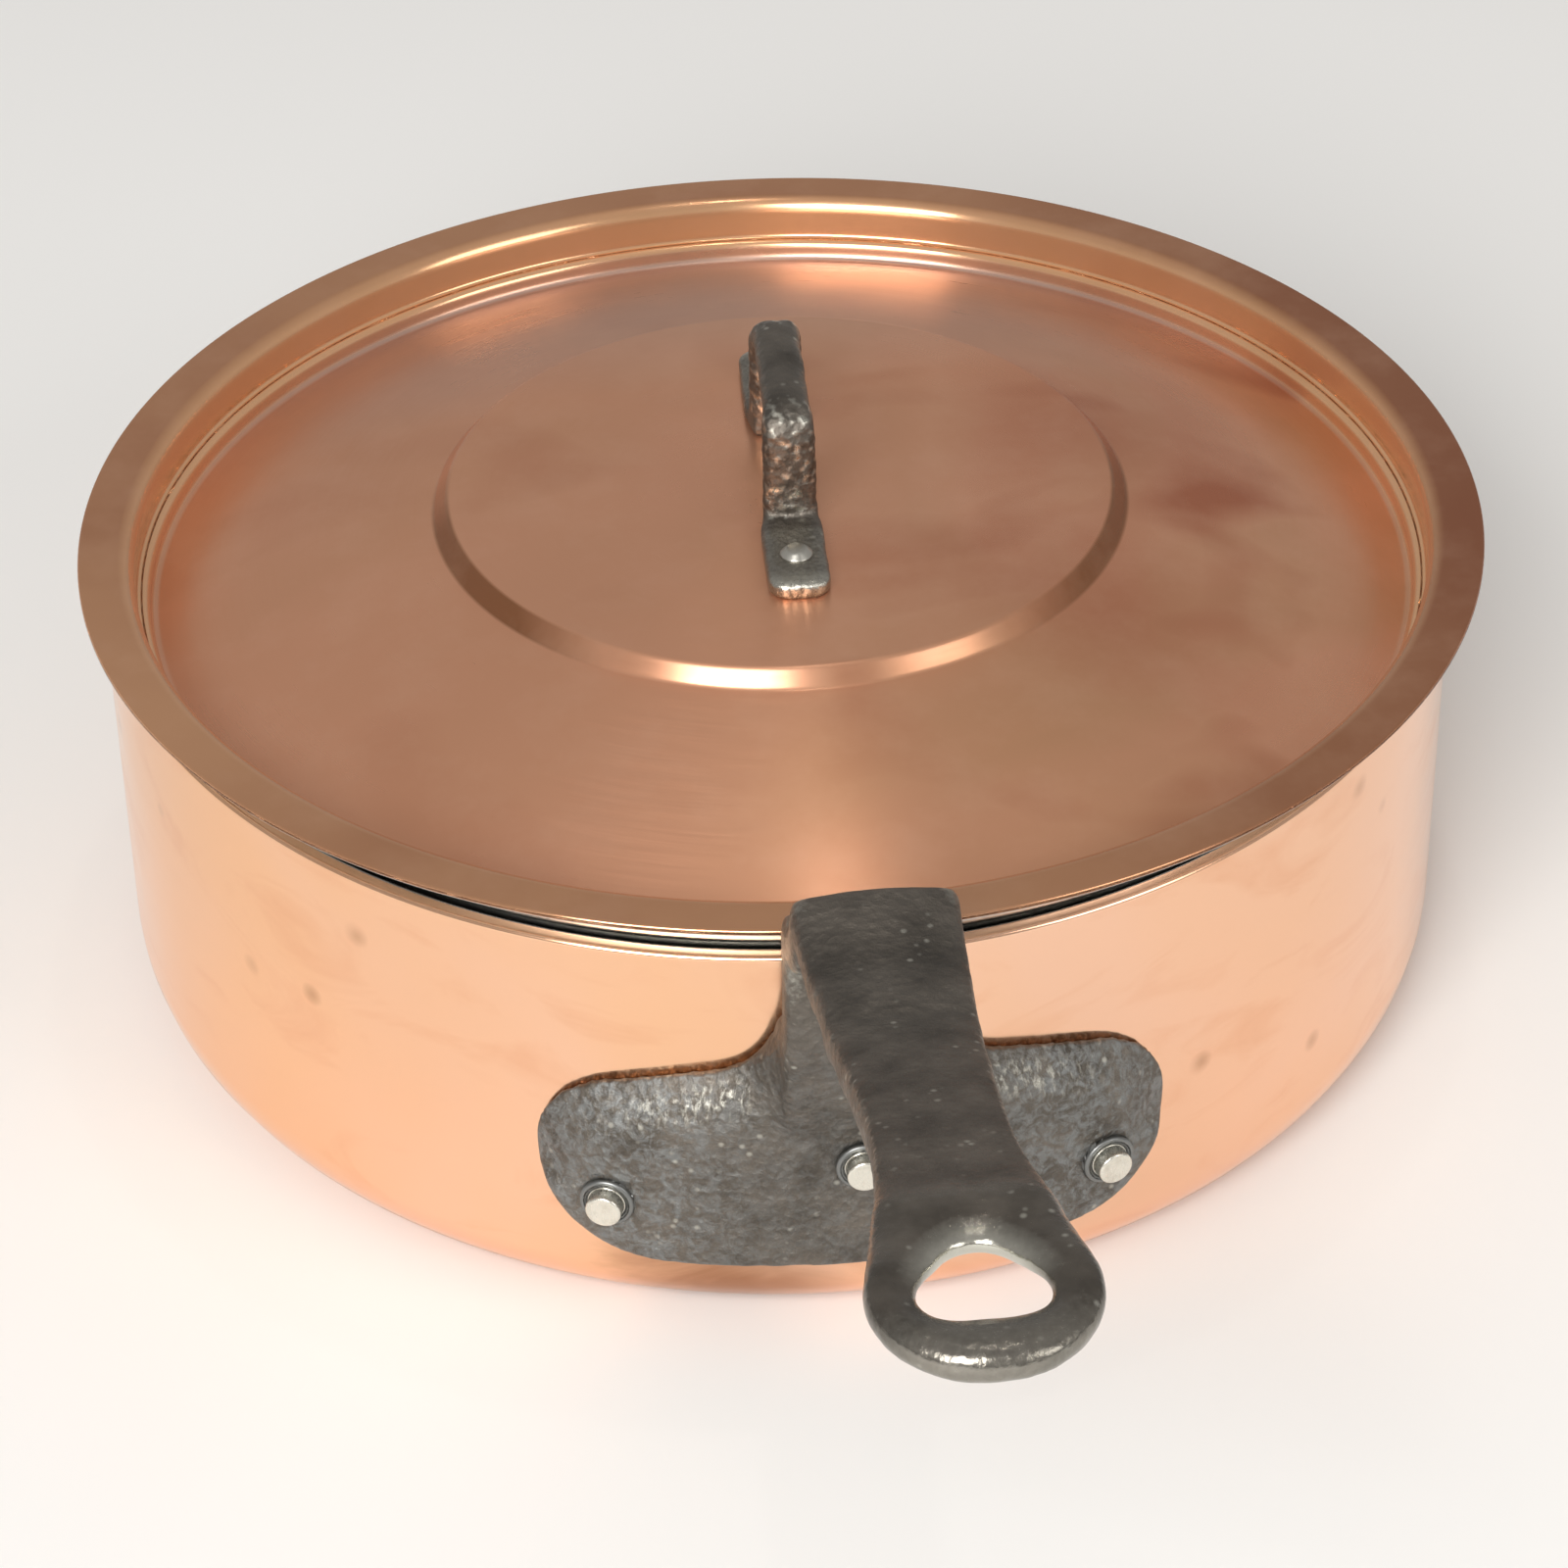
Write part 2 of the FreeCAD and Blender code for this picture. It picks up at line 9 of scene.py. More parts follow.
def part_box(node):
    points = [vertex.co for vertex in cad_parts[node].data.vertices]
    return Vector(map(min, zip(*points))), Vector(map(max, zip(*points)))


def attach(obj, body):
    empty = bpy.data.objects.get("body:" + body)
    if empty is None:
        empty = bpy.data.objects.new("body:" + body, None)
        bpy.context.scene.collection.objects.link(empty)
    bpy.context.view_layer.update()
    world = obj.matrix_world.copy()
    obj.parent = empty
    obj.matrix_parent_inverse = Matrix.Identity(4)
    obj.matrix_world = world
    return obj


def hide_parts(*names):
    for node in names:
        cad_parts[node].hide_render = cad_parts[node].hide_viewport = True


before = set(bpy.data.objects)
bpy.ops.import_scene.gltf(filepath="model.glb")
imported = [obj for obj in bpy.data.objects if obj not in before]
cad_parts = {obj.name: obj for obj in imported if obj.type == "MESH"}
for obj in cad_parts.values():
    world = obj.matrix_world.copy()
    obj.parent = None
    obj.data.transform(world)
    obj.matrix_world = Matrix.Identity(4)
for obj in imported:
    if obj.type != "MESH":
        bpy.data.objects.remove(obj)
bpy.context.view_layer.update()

# A low copper pan with a cast-iron handle, and its pressed copper lid. Metres, +Z up, the pan
# handle along -Y. Sheet-metal pieces are turned from profiles; the two iron handles are softened
# and worn copies of the cast shapes; the rivets are set by one node tree.

MM = 0.001


# ---------------------------------------------------------------- sizes

pan_low, pan_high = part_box("pan_body")
PAN_RADIUS = pan_high.x
RIM_HEIGHT = pan_high.z
BASE_CORNER = 15.0 * MM
RIM_ROUND = 0.9 * MM
COPPER_WALL = 2.5 * MM
PAN_LINING = 0.3 * MM
BASE_HOLLOW = 0.6 * MM

FLANGE_RADIUS = 127.2 * MM
LID_SHEET = 1.0 * MM
LID_LINING = 0.2 * MM
LID_WALL = 117.3 * MM
LID_STEP = 7.0 * MM
LID_PLUG = 115.0 * MM
LID_FLOOR = 11.0 * MM
CREST_BEND = 2.8 * MM
STEP_BEND = 0.7 * MM
PLUG_BEND = 1.5 * MM
FLOOR_BEND = 1.2 * MM
DOME_CURVE = 240.0 * MM
DISC_FOOT = Vector((62.8, 4.4)) * MM
DISC_EDGE = Vector((60.3, 7.4)) * MM
DISC_BEND = 1.2 * MM
LID_TILT = math.radians(1.9)
LID_FORWARD = 0.5 * MM
LID_RIGHT = 0.8 * MM
LID_REST_GAP = 0.3 * MM

PLATE_THICK = 6.0 * MM
PLATE_FACE = PAN_RADIUS + PLATE_THICK
SIDE_RIVET_ANGLE = math.radians(19.4)
RIVET_HEIGHTS = {"left": 33.0 * MM, "middle": 42.6 * MM, "right": 33.0 * MM}
RIVET_SIDES = {"left": -SIDE_RIVET_ANGLE, "middle": 0.0, "right": SIDE_RIVET_ANGLE}
RING_START = 236.0 * MM
RING_CORNERS = [Vector(corner) * MM for corner in ((4.6, -262.9), (-4.6, -262.9), (0.0, -256.0))]
RING_HOLE_ROUND = 5.2 * MM

BRIDGE_SHIFT = Vector((0.9, 1.75, 0.0)) * MM
BRIDGE_TURN = math.radians(-2.0)
FOOT_TOP = DISC_EDGE.y + 3.2 * MM
LID_RIVET_PLACES = {"front": -31.6 * MM, "back": 31.6 * MM}


def lid_place():
    """Where the lid rests: the flange on the rim at the back, the step on the rim in front."""
    back = PAN_RADIUS - RIM_ROUND + LID_FORWARD
    height = RIM_HEIGHT + LID_REST_GAP + back * math.tan(LID_TILT)
    return Matrix.Translation((LID_RIGHT, -LID_FORWARD, height)) @ Matrix.Rotation(-LID_TILT, 4, "X")


LID_PLACE = lid_place()
BRIDGE_PLACE = LID_PLACE @ Matrix.Translation(BRIDGE_SHIFT) @ Matrix.Rotation(BRIDGE_TURN, 4, "Z")


# ---------------------------------------------------------------- turned sheet metal

AROUND = 320
BEND_STEPS = 7
DOME_STEPS = 22
GUARD = 0.35 * MM


def rounded(corners):
    """A smooth half profile from corners (radius, height, bend), with guard points by each bend."""
    points = [Vector(corners[0][:2])]
    for before, corner, after in zip(corners, corners[1:], corners[2:]):
        here = Vector(corner[:2])
        bend = corner[2]
        if bend == 0:
            points.append(here)
            continue
        inward = (Vector(before[:2]) - here).normalized()
        outward = (Vector(after[:2]) - here).normalized()
        half_angle = math.acos(max(-1.0, min(1.0, inward.dot(outward)))) / 2
        run = bend / math.tan(half_angle)
        start, end = here + inward * run, here + outward * run
        centre = here + (inward + outward).normalized() * (bend / math.sin(half_angle))
        points.append(start + inward * GUARD)
        for step in range(BEND_STEPS + 1):
            part = step / BEND_STEPS
            ray = start.lerp(end, part) - centre
            points.append(centre + ray.normalized() * bend)
        points.append(end + outward * GUARD)
    points.append(Vector(corners[-1][:2]))
    return points


def arc(start, end, radius, steps):
    """Points of the arc that bulges to the left of the way from start to end, without its ends."""
    chord = end - start
    reach = math.sqrt(radius ** 2 - (chord.length / 2) ** 2)
    centre = (start + end) / 2 + Vector((chord.y, -chord.x)).normalized() * -reach
    inside = []
    for step in range(1, steps):
        ray = start.lerp(end, step / steps) - centre
        inside.append(centre + ray.normalized() * radius)
    return inside


def turned(name, profile, place=None, around=AROUND):
    """A closed solid of revolution. The profile starts and ends on the axis, or is a closed loop."""
    mesh = bmesh.new()
    rings = []
    for point in profile:
        if point[0] < 1e-7:
            rings.append([mesh.verts.new((0, 0, point[1]))])
            continue
        rings.append([mesh.verts.new((point[0] * math.sin(turn), -point[0] * math.cos(turn), point[1]))
                      for turn in (2 * math.pi * step / around for step in range(around))])
    if len(rings[0]) > 1:
        rings.append(rings[0])
    for lower, upper in zip(rings, rings[1:]):
        for step in range(around):
            following = (step + 1) % around
            if len(lower) == 1:
                mesh.faces.new((lower[0], upper[following], upper[step]))
            elif len(upper) == 1:
                mesh.faces.new((lower[step], lower[following], upper[0]))
            else:
                mesh.faces.new((lower[step], lower[following], upper[following], upper[step]))
    bmesh.ops.recalc_face_normals(mesh, faces=mesh.faces)
    if place is not None:
        mesh.transform(place)
    return piece_from(mesh, name)


def piece_from(mesh, name):
    """A smooth-shaded object at the origin from a bmesh."""
    for face in mesh.faces:
        face.smooth = True
    data = bpy.data.meshes.new(name)
    mesh.to_mesh(data)
    mesh.free()
    piece = bpy.data.objects.new(name, data)
    bpy.context.scene.collection.objects.link(piece)
    return piece


def pan_skin(inset, top):
    """Corners of a pan skin from its axis to the rim."""
    return [
        (0, inset + BASE_HOLLOW * (inset == 0), 0),
        (PAN_RADIUS * 0.80, inset + BASE_HOLLOW * (inset == 0), 2 * MM),
        (PAN_RADIUS * 0.83, inset, 2 * MM),
        (PAN_RADIUS - inset, inset, BASE_CORNER - inset),
        (PAN_RADIUS - inset, top, 0),
    ]


def lay_on_rings(points, spacing):
    """Split the long straight runs of a profile so that its faces stay near square."""
    filled = [points[0]]
    for point in points[1:]:
        start = filled[-1]
        pieces = max(1, math.ceil((point - start).length / spacing))
        filled += [start.lerp(point, part / pieces) for part in range(1, pieces + 1)]
    return filled


def make_pan():
    """The copper wall and base, with a softened rim."""
    outside = pan_skin(0, RIM_HEIGHT)
    inside = pan_skin(COPPER_WALL, RIM_HEIGHT)
    crown = [(PAN_RADIUS, RIM_HEIGHT, RIM_ROUND),
             (PAN_RADIUS - COPPER_WALL, RIM_HEIGHT, RIM_ROUND / 3)]
    corners = outside[:-1] + crown + inside[::-1][1:]
    return turned("pan_wall", lay_on_rings(rounded(corners), 9 * MM))


def make_pan_lining():
    """The thin pale lining inside the pan."""
    outside = pan_skin(COPPER_WALL, RIM_HEIGHT - RIM_ROUND / 4)
    inside = pan_skin(COPPER_WALL + PAN_LINING, RIM_HEIGHT - RIM_ROUND / 4)
    return turned("pan_inside_lining", lay_on_rings(rounded(outside + inside[::-1]), 9 * MM))


def lid_skin(depth):
    """A lid skin from the axis to the flange edge, at a depth below the upper face."""
    top = LID_SHEET + LID_LINING - depth
    floor_edge = Vector((LID_PLUG - FLOOR_BEND, -LID_FLOOR - depth))
    disc_foot = DISC_FOOT - Vector((0, depth))
    dome = arc(floor_edge, disc_foot, DOME_CURVE, DOME_STEPS)[::-1]
    corners = [(0, DISC_EDGE.y - depth, 0),
               (DISC_EDGE.x, DISC_EDGE.y - depth, DISC_BEND),
               (disc_foot.x, disc_foot.y, DISC_BEND)]
    corners += [(point.x, point.y, 0) for point in dome[1:]]
    corners += [
        (LID_PLUG + depth, -LID_FLOOR - depth, FLOOR_BEND + depth * 0.5),
        (LID_PLUG + depth, -LID_STEP - depth, PLUG_BEND - depth * 0.5),
        (LID_WALL + depth, -LID_STEP - depth, STEP_BEND + depth * 0.5),
        (LID_WALL + depth, top, CREST_BEND - depth),
    ]
    return corners, top


def make_lid():
    """The pressed copper lid: flange, two-step recess, dome and raised disc."""
    upper, top = lid_skin(0)
    lower, underside = lid_skin(LID_SHEET)
    edge = [(FLANGE_RADIUS, top, LID_SHEET * 0.42), (FLANGE_RADIUS, underside, LID_SHEET * 0.3)]
    profile = lay_on_rings(rounded(upper + edge + lower[::-1]), 5 * MM)
    return turned("lid_copper", profile, LID_PLACE)


def make_lid_lining():
    """The pale lining on the underside of the lid."""
    upper, top = lid_skin(LID_SHEET)
    lower, underside = lid_skin(LID_SHEET + LID_LINING)
    edge_radius = FLANGE_RADIUS - LID_SHEET * 0.3
    edge = [(edge_radius, top, 0), (edge_radius, underside, 0)]
    profile = lay_on_rings(rounded(upper + edge + lower[::-1]), 5 * MM)
    return turned("lid_underside_lining", profile, LID_PLACE)


# ---------------------------------------------------------------- iron castings

def softened(node, name, grain, rounds):
    """A copy of a cast shape with its edges rounded off, as an even mesh."""
    mesh = bmesh.new()
    mesh.from_mesh(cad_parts[node].data)
    bmesh.ops.remove_doubles(mesh, verts=mesh.verts, dist=1e-6)
    piece = piece_from(mesh, name)
    remesh = piece.modifiers.new("even grain", "REMESH")
    remesh.mode = "VOXEL"
    remesh.voxel_size = grain
    smooth = piece.modifiers.new("soft edges", "SMOOTH")
    smooth.factor = 0.5
    smooth.iterations = rounds
    ready = piece.evaluated_get(bpy.context.evaluated_depsgraph_get())
    data = bpy.data.meshes.new_from_object(ready)
    piece.modifiers.clear()
    piece.data = data
    return piece


def read_points(piece):
    """Vertex places and normals as arrays."""
    count = len(piece.data.vertices)
    places, normals = np.zeros(count * 3), np.zeros(count * 3)
    piece.data.vertices.foreach_get("co", places)
    piece.data.vertices.foreach_get("normal", normals)
    return places.reshape(-1, 3), normals.reshape(-1, 3)


def write_points(piece, places):
    piece.data.vertices.foreach_set("co", places.ravel())
    piece.data.update()
    for face in piece.data.polygons:
        face.use_smooth = True


def rub(amount, low, high):
    """0 below low, 1 above high, smooth between."""
    part = np.clip((amount - low) / (high - low), 0, 1)
    return part * part * (3 - 2 * part)


def lumps(places, size, seed):
    """Smooth lumps of about that size, from -1 to 1, one number for each point."""
    shift = Vector((seed, seed * 1.7, seed * 0.3))
    return np.array([noise.noise(Vector(place) / size + shift) for place in places])


def edge_wear(piece, reach):
    """How sharply the surface turns outwards at each vertex, from 0 on a flat or a hollow to 1."""
    places, normals = read_points(piece)
    pairs = np.zeros(len(piece.data.edges) * 2, int)
    piece.data.edges.foreach_get("vertices", pairs)
    pairs = pairs.reshape(-1, 2)
    turn = np.zeros(len(places))
    for step in range(reach):
        if step == 0:
            offset = places[pairs[:, 1]] - places[pairs[:, 0]]
            length = np.linalg.norm(offset, axis=1) + 1e-9
            for mine, sign in ((0, -1.0), (1, 1.0)):
                bend = sign * np.einsum("ij,ij->i", offset, normals[pairs[:, mine]]) / length
                np.add.at(turn, pairs[:, mine], bend)
            share = np.bincount(pairs.ravel(), minlength=len(places))
            turn = turn / np.maximum(share, 1)
        else:
            total = np.zeros(len(places))
            np.add.at(total, pairs[:, 0], turn[pairs[:, 1]])
            np.add.at(total, pairs[:, 1], turn[pairs[:, 0]])
            turn = 0.5 * turn + 0.5 * total / np.maximum(share, 1)
    return turn


def store(piece, name, values):
    """Keep one number for each vertex for the finish to read."""
    layer = piece.data.attributes.new(name, "FLOAT", "POINT")
    layer.data.foreach_set("value", np.clip(values, 0, 1).astype(np.float32))


PLATE_TOP_SLOPE = math.radians(14.0)
PLATE_CORNER = Vector((36.8, 39.3)) * MM
PLATE_CORNER_ROUND = 17.0 * MM
PLATE_REGION_TOP = 66.0 * MM
BEVEL_WIDTH = 8.0 * MM
BEVEL_DEPTH = 4.2 * MM
DISH_WIDTH = 6.0 * MM
DISH_TOP = 2.2 * MM
DISH_UNDER = 1.2 * MM


def below_plate_edge(side, height):
    """Distance down from the upper edge of the wall plate."""
    line_start = PLATE_CORNER.x + PLATE_CORNER_ROUND * math.sin(PLATE_TOP_SLOPE)
    line_height = PLATE_CORNER.y + PLATE_CORNER_ROUND * math.cos(PLATE_TOP_SLOPE)
    line = line_height + (line_start - side) * math.tan(PLATE_TOP_SLOPE)
    from_line = (line - height) * math.cos(PLATE_TOP_SLOPE)
    from_corner = PLATE_CORNER_ROUND - np.hypot(side - PLATE_CORNER.x, height - PLATE_CORNER.y)
    at_corner = (side > line_start) & (height > PLATE_CORNER.y - 4 * MM)
    low_end = (side > line_start) & ~at_corner
    return np.where(at_corner, from_corner, np.where(low_end, BEVEL_WIDTH, from_line))


def from_ring_hole(places):
    """Distance out from the edge of the three-cornered hole in the hanging ring."""
    nearest = np.full(len(places), np.inf)
    inside = np.ones(len(places), bool)
    for start, end in zip(RING_CORNERS, RING_CORNERS[1:] + RING_CORNERS[:1]):
        side = np.array(end - start)
        offset = places[:, :2] - np.array(start)
        part = np.clip(offset @ side / (side @ side), 0, 1)
        nearest = np.minimum(nearest, np.linalg.norm(offset - part[:, None] * side, axis=1))
        inside &= offset[:, 0] * side[1] - offset[:, 1] * side[0] > 0
    return np.where(inside, 0, nearest) - RING_HOLE_ROUND


def ease(piece, weights, rounds, rebound=0.0):
    """Let a region flow smooth, as far as its weights say. A rebound keeps its thickness."""
    places, normals = read_points(piece)
    pairs = np.zeros(len(piece.data.edges) * 2, int)
    piece.data.edges.foreach_get("vertices", pairs)
    first, second = pairs[0::2], pairs[1::2]
    share = np.maximum(np.bincount(pairs, minlength=len(places)), 1)
    pulls = [0.5 * weights, -rebound * weights] if rebound else [0.5 * weights]
    for pull in pulls * rounds:
        for axis in range(3):
            along = places[:, axis]
            total = np.bincount(first, along[second], len(places))
            total += np.bincount(second, along[first], len(places))
            places[:, axis] = along + pull * (total / share - along)
    write_points(piece, places)


STRAP_HALF = 13.0 * MM
STRAP_CROWN = 1.5 * MM
STRAP_STATIONS = np.array((129.0, 142.2, 160.0, 210.0, 231.0, 262.2)) * MM
STRAP_HALVES = np.array((13.6, 13.6, 12.6, 10.3, 10.3, 16.4)) * MM
WAIST_REACH = 13.0 * MM
REBOUND = 0.52
NECK_ROUNDS = 60
NECK_FINISH_ROUNDS = 8
PLATE_ROUNDS = 22
BEVEL_ROUNDS = 20
RING_ROUNDS = 34
RING_FULLNESS = 0.45 * MM


def waist_flow(outwards):
    """How much wider the strap grows at each distance, for its straight sides to flow together."""
    sides = [np.interp(outwards + shift, STRAP_STATIONS, STRAP_HALVES)
             for shift in np.linspace(-WAIST_REACH, WAIST_REACH, 13)]
    straight = np.interp(outwards, STRAP_STATIONS, STRAP_HALVES)
    share = rub(outwards, 150 * MM, 165 * MM) * (1 - rub(outwards, 240 * MM, 252 * MM))
    return 1 + share * (np.mean(sides, axis=0) / straight - 1)


def make_pan_handle():
    """The cast handle: wings that roll over at the top, a buttress that flows out of them, a
    crowned strap, a round dished hanging ring, and a lumpy skin."""
    piece = softened("pan_handle", "cast_handle", 0.72 * MM, 18)
    places, normals = read_points(piece)
    side = np.abs(places[:, 0])
    height = places[:, 2]
    distance = np.linalg.norm(places[:, :2], axis=1)
    outwards = places[:, :2] / distance[:, None]

    down = below_plate_edge(side, height)
    roll = (1 - np.clip(down / BEVEL_WIDTH, 0, 1)) * rub(side, 13 * MM, 19 * MM)
    on_plate = (height < PLATE_REGION_TOP) & (distance < PLATE_FACE + 1 * MM)
    limit = PLATE_FACE - BEVEL_DEPTH * roll ** 1.6
    pressed = np.where(on_plate & (roll > 0), np.minimum(distance, limit), distance)
    places[:, :2] = outwards * pressed[:, None]

    near_hole = np.clip(1 - from_ring_hole(places) / DISH_WIDTH, 0, 1) ** 1.5
    near_hole *= rub(-places[:, 1], RING_START, RING_START + 8 * MM)
    places[:, 2] -= DISH_TOP * near_hole * rub(normals[:, 2], 0.0, 0.8)
    places[:, 2] += DISH_UNDER * near_hole * rub(-normals[:, 2], 0.0, 0.8)
    crown = (1 - np.clip(side / STRAP_HALF, 0, 1) ** 2) * rub(normals[:, 2], 0.1, 0.9)
    crown *= rub(height, 92 * MM, 104 * MM) * (1 - rub(-places[:, 1], 205 * MM, RING_START))
    places[:, 2] += STRAP_CROWN * crown
    places[:, 0] *= waist_flow(-places[:, 1])
    write_points(piece, places)

    free = rub(distance, PAN_RADIUS + 1.2 * MM, PAN_RADIUS + 3.0 * MM)
    neck = free * (1 - rub(side, 24 * MM, 32 * MM))
    neck *= rub(height, 36 * MM, 46 * MM) * (1 - rub(height, 92 * MM, 106 * MM))
    bend = rub(height, 88 * MM, 96 * MM) * (1 - rub(-places[:, 1], 146 * MM, 156 * MM))
    ease(piece, np.maximum(neck, bend), NECK_ROUNDS, REBOUND)
    ease(piece, np.maximum(neck, bend), NECK_FINISH_ROUNDS)
    ease(piece, free * on_plate, PLATE_ROUNDS)
    ease(piece, free * on_plate * rub(roll, 0.0, 0.15), BEVEL_ROUNDS)
    ring = rub(-places[:, 1], RING_START - 4 * MM, RING_START + 10 * MM)
    ease(piece, ring, RING_ROUNDS)

    places, normals = read_points(piece)
    swell = 0.18 * MM * lumps(places, 11 * MM, 3.1) + 0.08 * MM * lumps(places, 3.0 * MM, 8.4)
    on_wall = (distance < PAN_RADIUS + 0.8 * MM) & (height < PLATE_REGION_TOP)
    grown = np.where(on_wall, 0, swell) + RING_FULLNESS * ring
    places += normals * grown[:, None]
    write_points(piece, places)

    turn = rub(edge_wear(piece, 3), 0.07, 0.17)
    strap = rub(height, 88 * MM, 100 * MM)
    ring_end = rub(-places[:, 1], 255 * MM, 277 * MM)
    pan_side = 1 - rub(-places[:, 1], 254 * MM, 264 * MM)
    filed = np.where(on_plate, 4 * roll * (1 - roll), 0)
    filed *= rub(side, 17 * MM, 21 * MM) * (1 - rub(side, 30 * MM, 47 * MM))
    edges = turn * (0.35 + 0.9 * strap) * (1 - 0.8 * ring)
    cheek = rub(height, 78 * MM, 98 * MM) * rub(side, 9 * MM, 12 * MM)
    cheek *= 1 - rub(-places[:, 1], 142 * MM, 152 * MM)
    store(piece, "wear", edges + 0.42 * ring_end + 1.0 * near_hole * pan_side + 0.6 * cheek)
    store(piece, "filed", 0.8 * filed)
    # the plate's pale fleck is a real pale mottle, strengthened into a painted sheen towards the
    # wings' outer ends
    lit = 0.35 + 0.65 * rub(side, 14 * MM, 36 * MM)
    store(piece, "plate", lit * (1 - rub(height, 64 * MM, 90 * MM)))
    store(piece, "handled", ring)
    return piece


BRIDGE_FULLNESS = 0.4 * MM


def in_bridge_frame(places):
    """World places in the lid handle's own frame, where it stands upright along Y."""
    return (np.c_[places, np.ones(len(places))] @ np.array(BRIDGE_PLACE.inverted()).T)[:, :3]


def make_lid_handle():
    """The forged bridge handle of the lid, well rounded, with pitted bright legs."""
    piece = softened("lid_handle", "lid_bridge_handle", 0.36 * MM, 20)
    places, normals = read_points(piece)
    local = in_bridge_frame(places)
    raised = rub(local[:, 2], FOOT_TOP - 1.5 * MM, FOOT_TOP + 3 * MM)
    ease(piece, raised, 170)
    places, normals = read_points(piece)
    places += normals * (BRIDGE_FULLNESS * raised)[:, None]
    write_points(piece, places)
    places, normals = read_points(piece)
    local = in_bridge_frame(places)
    along = np.abs(local[:, 1])
    above_foot = local[:, 2] > DISC_EDGE.y + 0.6 * MM
    leg = (1 - rub(np.abs(along - 17 * MM), 2.5 * MM, 6 * MM)) * rub(local[:, 2], 9 * MM, 12 * MM)
    swell = 0.16 * MM * lumps(places, 6 * MM, 5.2)
    swell += (0.07 + 0.16 * leg) * MM * lumps(places, 1.8 * MM, 1.9)
    places += normals * np.where(above_foot, swell + 0.1 * MM, 0)[:, None]
    write_points(piece, places)
    turn = rub(edge_wear(piece, 4), 0.05, 0.18)
    foot = rub(along, 21 * MM, 24 * MM)
    foot_end = rub(along, 36 * MM, 40 * MM)
    pitted = rub(lumps(places, 1.3 * MM, 7.7), -0.1, 0.9)
    store(piece, "wear", 0.25 * turn + leg * (0.15 + 0.95 * pitted) * (1 - foot)
          + 0.40 * foot + 0.4 * foot_end)
    store(piece, "filed", np.zeros(len(places)))
    store(piece, "plate", np.zeros(len(places)))
    store(piece, "handled", 0.15 * leg + 0.35 * foot)
    return piece


# ---------------------------------------------------------------- rivets

def rivet_setter():
    """A node tree that sets one rivet at a place, turned, in its finish."""
    tree = bpy.data.node_groups.new("rivet_setter", "GeometryNodeTree")
    wanted = (("Rivet", "NodeSocketGeometry"), ("Place", "NodeSocketVector"),
              ("Turn", "NodeSocketRotation"), ("Finish", "NodeSocketMaterial"))
    for label, kind in wanted:
        tree.interface.new_socket(label, in_out="INPUT", socket_type=kind)
    tree.interface.new_socket("Set rivet", in_out="OUTPUT", socket_type="NodeSocketGeometry")
    given = tree.nodes.new("NodeGroupInput")
    points = tree.nodes.new("GeometryNodePoints")
    setter = tree.nodes.new("GeometryNodeInstanceOnPoints")
    realize = tree.nodes.new("GeometryNodeRealizeInstances")
    paint = tree.nodes.new("GeometryNodeSetMaterial")
    result = tree.nodes.new("NodeGroupOutput")
    links = (
        (given.outputs["Place"], points.inputs["Position"]),
        (points.outputs[0], setter.inputs["Points"]),
        (given.outputs["Rivet"], setter.inputs["Instance"]),
        (given.outputs["Turn"], setter.inputs["Rotation"]),
        (setter.outputs[0], realize.inputs[0]),
        (realize.outputs[0], paint.inputs["Geometry"]),
        (given.outputs["Finish"], paint.inputs["Material"]),
        (paint.outputs[0], result.inputs[0]),
    )
    for start, end in links:
        tree.links.new(start, end)
    return tree


def set_rivet(piece, tree, place, turn, finish):
    """Run the node tree on a turned rivet and keep the result as a plain mesh."""
    setter = piece.modifiers.new("set", "NODES")
    setter.node_group = tree
    names = {item.name: item.identifier for item in tree.interface.items_tree
             if item.in_out == "INPUT"}
    setter[names["Place"]] = place
    setter[names["Turn"]] = turn
    setter[names["Finish"]] = finish
    ready = piece.evaluated_get(bpy.context.evaluated_depsgraph_get())
    data = bpy.data.meshes.new_from_object(ready)
    piece.modifiers.remove(setter)
    piece.data = data
    return piece


def handle_rivet_profile():
    """Stub and dished collar outside, shank, and flat button inside the pan, from end to end."""
    stub, collar, shank, button = 3.1 * MM, 4.75 * MM, 3.0 * MM, 7.0 * MM
    inside = -(PLATE_THICK + COPPER_WALL + PAN_LINING)
    corners = [
        (0, inside - 2.0 * MM, 0),
        (button, inside - 2.0 * MM, 0.9 * MM),
        (button, inside + 0.2 * MM, 0),
        (shank, inside + 0.2 * MM, 0),
        (shank, -0.5 * MM, 0),
        (collar, -0.5 * MM, 0.1 * MM),
        (collar, 0.95 * MM, 0.55 * MM),
        (stub + 0.55 * MM, 0.75 * MM, 0.25 * MM),
        (stub, 0.45 * MM, 0.15 * MM),
        (stub, 3.2 * MM, 0.45 * MM),
        (0, 3.15 * MM, 0),
    ]
    return rounded(corners)


def lid_rivet_profile():
    """Domed head on the foot, and a flat head under the lid."""
    head, shank, inner = 2.9 * MM, 1.9 * MM, 4.5 * MM
    underside = -(FOOT_TOP - DISC_EDGE.y) - LID_SHEET - LID_LINING
    corners = [
        (0, underside - 1.0 * MM, 0),
        (inner, underside - 1.0 * MM, 0.5 * MM),
        (inner, underside + 0.05 * MM, 0),
        (shank, underside + 0.05 * MM, 0),
        (shank, -0.3 * MM, 0),
        (head, -0.3 * MM, 0),
        (head, 0.45 * MM, 0.3 * MM),
        (1.9 * MM, 1.45 * MM, 0.9 * MM),
        (0, 1.75 * MM, 0),
    ]
    return rounded(corners)


RIVET_AROUND = 64


